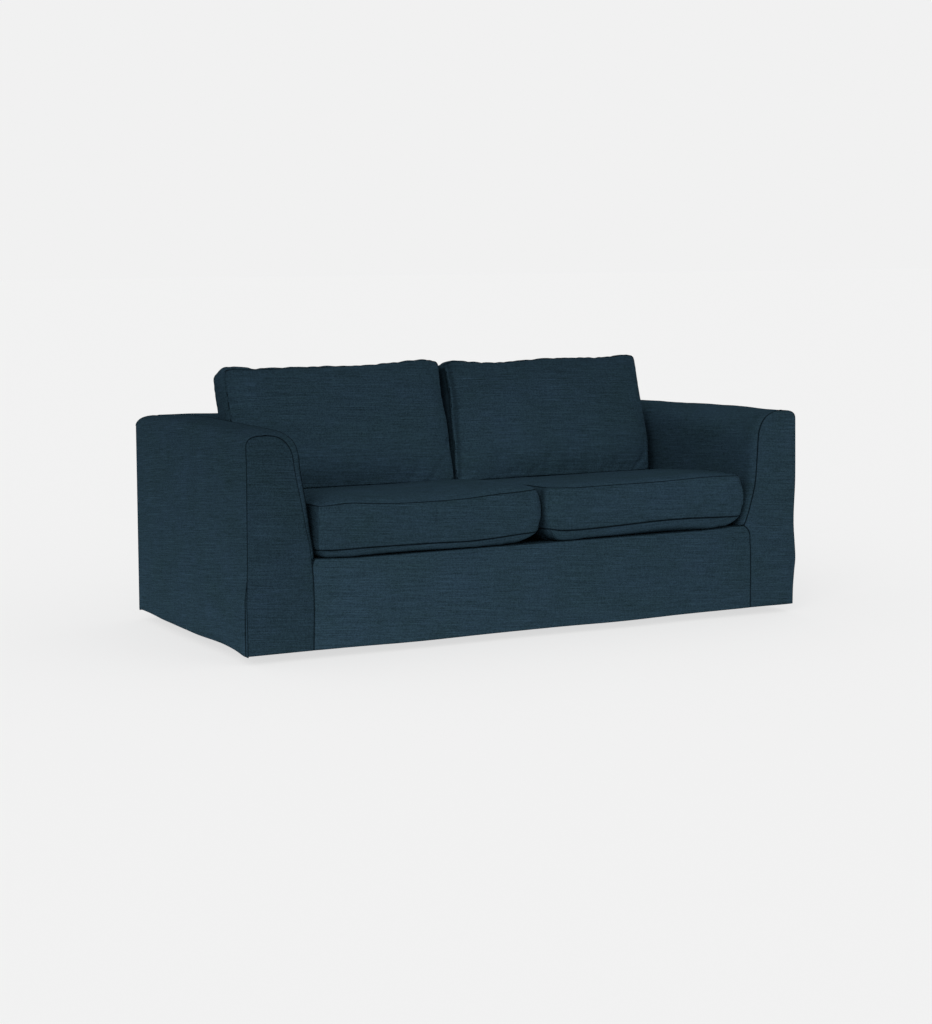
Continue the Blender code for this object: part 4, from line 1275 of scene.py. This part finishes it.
def clothMaterial(name, width, depth):
    # colour between cloth and slub by the weave's tint, times its tone, the seam's shadow, and the piece's tone with
    # its painted light and shade
    material = bpy.data.materials.new(name)
    material.use_nodes = True
    tree = material.node_tree
    woven = {"Vector": addNode(tree, "UVMap", {}, uv_map="cloth")}
    woven.update((label, clothLook[label]) for label in ("Slub", "Grain", "Patch"))
    cloth = addNode(tree, "Group", woven, None, node_tree=weaveGroup)
    distance = addNode(tree, "Attribute", {}, "Fac", attribute_name="seam")
    light = addNode(tree, "Group", {"Distance": distance, "Width": width, "Depth": depth}, node_tree=shadowGroup)
    pieceToneAndShadeValue = addNode(tree, "Attribute", {}, "Fac", attribute_name="pieceToneAndShade")
    tone = combine(tree, "MULTIPLY", cloth["Tone"], light, pieceToneAndShadeValue)
    tints = {0: cloth["Tint"], 4: clothLook["colour"], 5: clothLook["slubColour"]}
    hue = addNode(tree, "Mix", tints, 1, data_type="VECTOR", clamp_factor=False)
    bumps = {"Height": cloth["Height"], "Strength": clothLook["bump"], "Distance": clothLook["bumpHeight"]}
    feed(tree, tree.nodes["Principled BSDF"].inputs, {
        "Base Color": addNode(tree, "VectorMath", {0: hue, "Scale": tone}, operation="SCALE"),
        "Normal": addNode(tree, "Bump", bumps), "Roughness": clothLook["roughness"], "Specular IOR Level": 0.0,
        "Sheen Weight": clothLook["sheen"], "Sheen Roughness": clothLook["sheenRoughness"],
        "Sheen Tint": clothLook["sheenTint"],
    })
    return material


weaveGroup = slubWeave()
shadowGroup = seamShadow()
cloths = {slot: clothMaterial(slot + "_cloth", *line) for slot, line in seamLines.items()}
print("cloth: materials made")


def dress(obj, node, slot):
    # one piece takes the place of its plain solid
    obj.data.materials.append(cloths[slot])
    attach(obj, "root")
    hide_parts(node)
    return obj


def sewIn(obj):
    # a sheet, with the size that it was cut to
    dress(obj, obj.name.replace("_cloth", ""), "panel")
    area = pieceArea(obj)


for side in (-1, 1):
    sewIn(armWrap(side))
    sewIn(armFacing(side))
sewIn(frontPanel())
sewIn(seatDeck())
sewIn(insideBack())
sewIn(outsideBack())
for which in ("left", "right"):
    dress(seatCushion(which), "seat_cushion_" + which, "seat_cushion")
    dress(backCushion(which), "back_cushion_" + which, "back_cushion")
print("pieces: all made")


stage = {
    "floorDrop": 0.027,      # the sofa's feet, left out, hold the hem this far over the floor
    "floorLight": 0.665,     # share of the floor's paleness that shadows don't reach
    "floorTone": 0.28,
    "floorReach": 40.0,
    "backdrop": 0.8795,
    "overhead": 0.52,        # the studio's ceiling is darker than its walls
    "ceiling": (0.12, 0.95),  # between these heights of the sky
    "lamps": (((-0.62, -0.65, 0.43), 0.95, 35), ((0.5, -0.75, 0.43), 0.15, 35)),  # towards it, strength, spread
    "lens": 78.93,
    "sensor": 36,
    "eye": (-3.309, -6.471, 0.599),
    "yaw": -28.42,
    "pitch": -7.37,
}

reach, floorZ = stage["floorReach"], -mount[2] - stage["floorDrop"]
floorMesh = bpy.data.meshes.new("floor")
floorMesh.from_pydata([(x * reach, y * reach, floorZ) for x, y in ((-1, -1), (1, -1), (1, 1), (-1, 1))], [],
                      [(0, 1, 2, 3)])
paint = bpy.data.materials.new("pale floor")
paint.use_nodes = True
feed(paint.node_tree, paint.node_tree.nodes["Principled BSDF"].inputs, {
    "Base Color": (stage["floorTone"],) * 3 + (1,), "Roughness": 1.0, "Specular IOR Level": 0.0,
    "Emission Color": (1, 1, 1, 1), "Emission Strength": stage["floorLight"],
})
floorMesh.materials.append(paint)
newObject("floor", floorMesh)

world = bpy.data.worlds.new("studio")
world.use_nodes = True
tree = world.node_tree
aim = addNode(tree, "TexCoord", {}, "Generated")
rise = addNode(tree, "SeparateXYZ", {0: aim}, "Z")
light = remap(tree, rise, *stage["ceiling"], stage["backdrop"], stage["overhead"])
tone = addNode(tree, "CombineColor", {0: light, 1: light, 2: light})
tree.links.new(tone, tree.nodes["Background"].inputs["Color"])
bpy.context.scene.world = world
for number, (towards, strength, spread) in enumerate(stage["lamps"]):
    lamp = bpy.data.lights.new("soft lamp %d" % number, "SUN")
    lamp.energy = strength
    lamp.angle = math.radians(spread)
    newObject(lamp.name, lamp).rotation_euler = Vector(towards).to_track_quat("Z", "Y").to_euler()
bpy.context.scene.view_settings.view_transform = "Standard"

camera = newObject("camera", bpy.data.cameras.new("camera"))
camera.data.lens = stage["lens"]
camera.data.sensor_width = stage["sensor"]
camera.location = stage["eye"]
camera.rotation_euler = Euler((math.radians(90 + stage["pitch"]), 0, math.radians(stage["yaw"])))
bpy.context.scene.camera = camera
print("stage: floor, light and camera set")
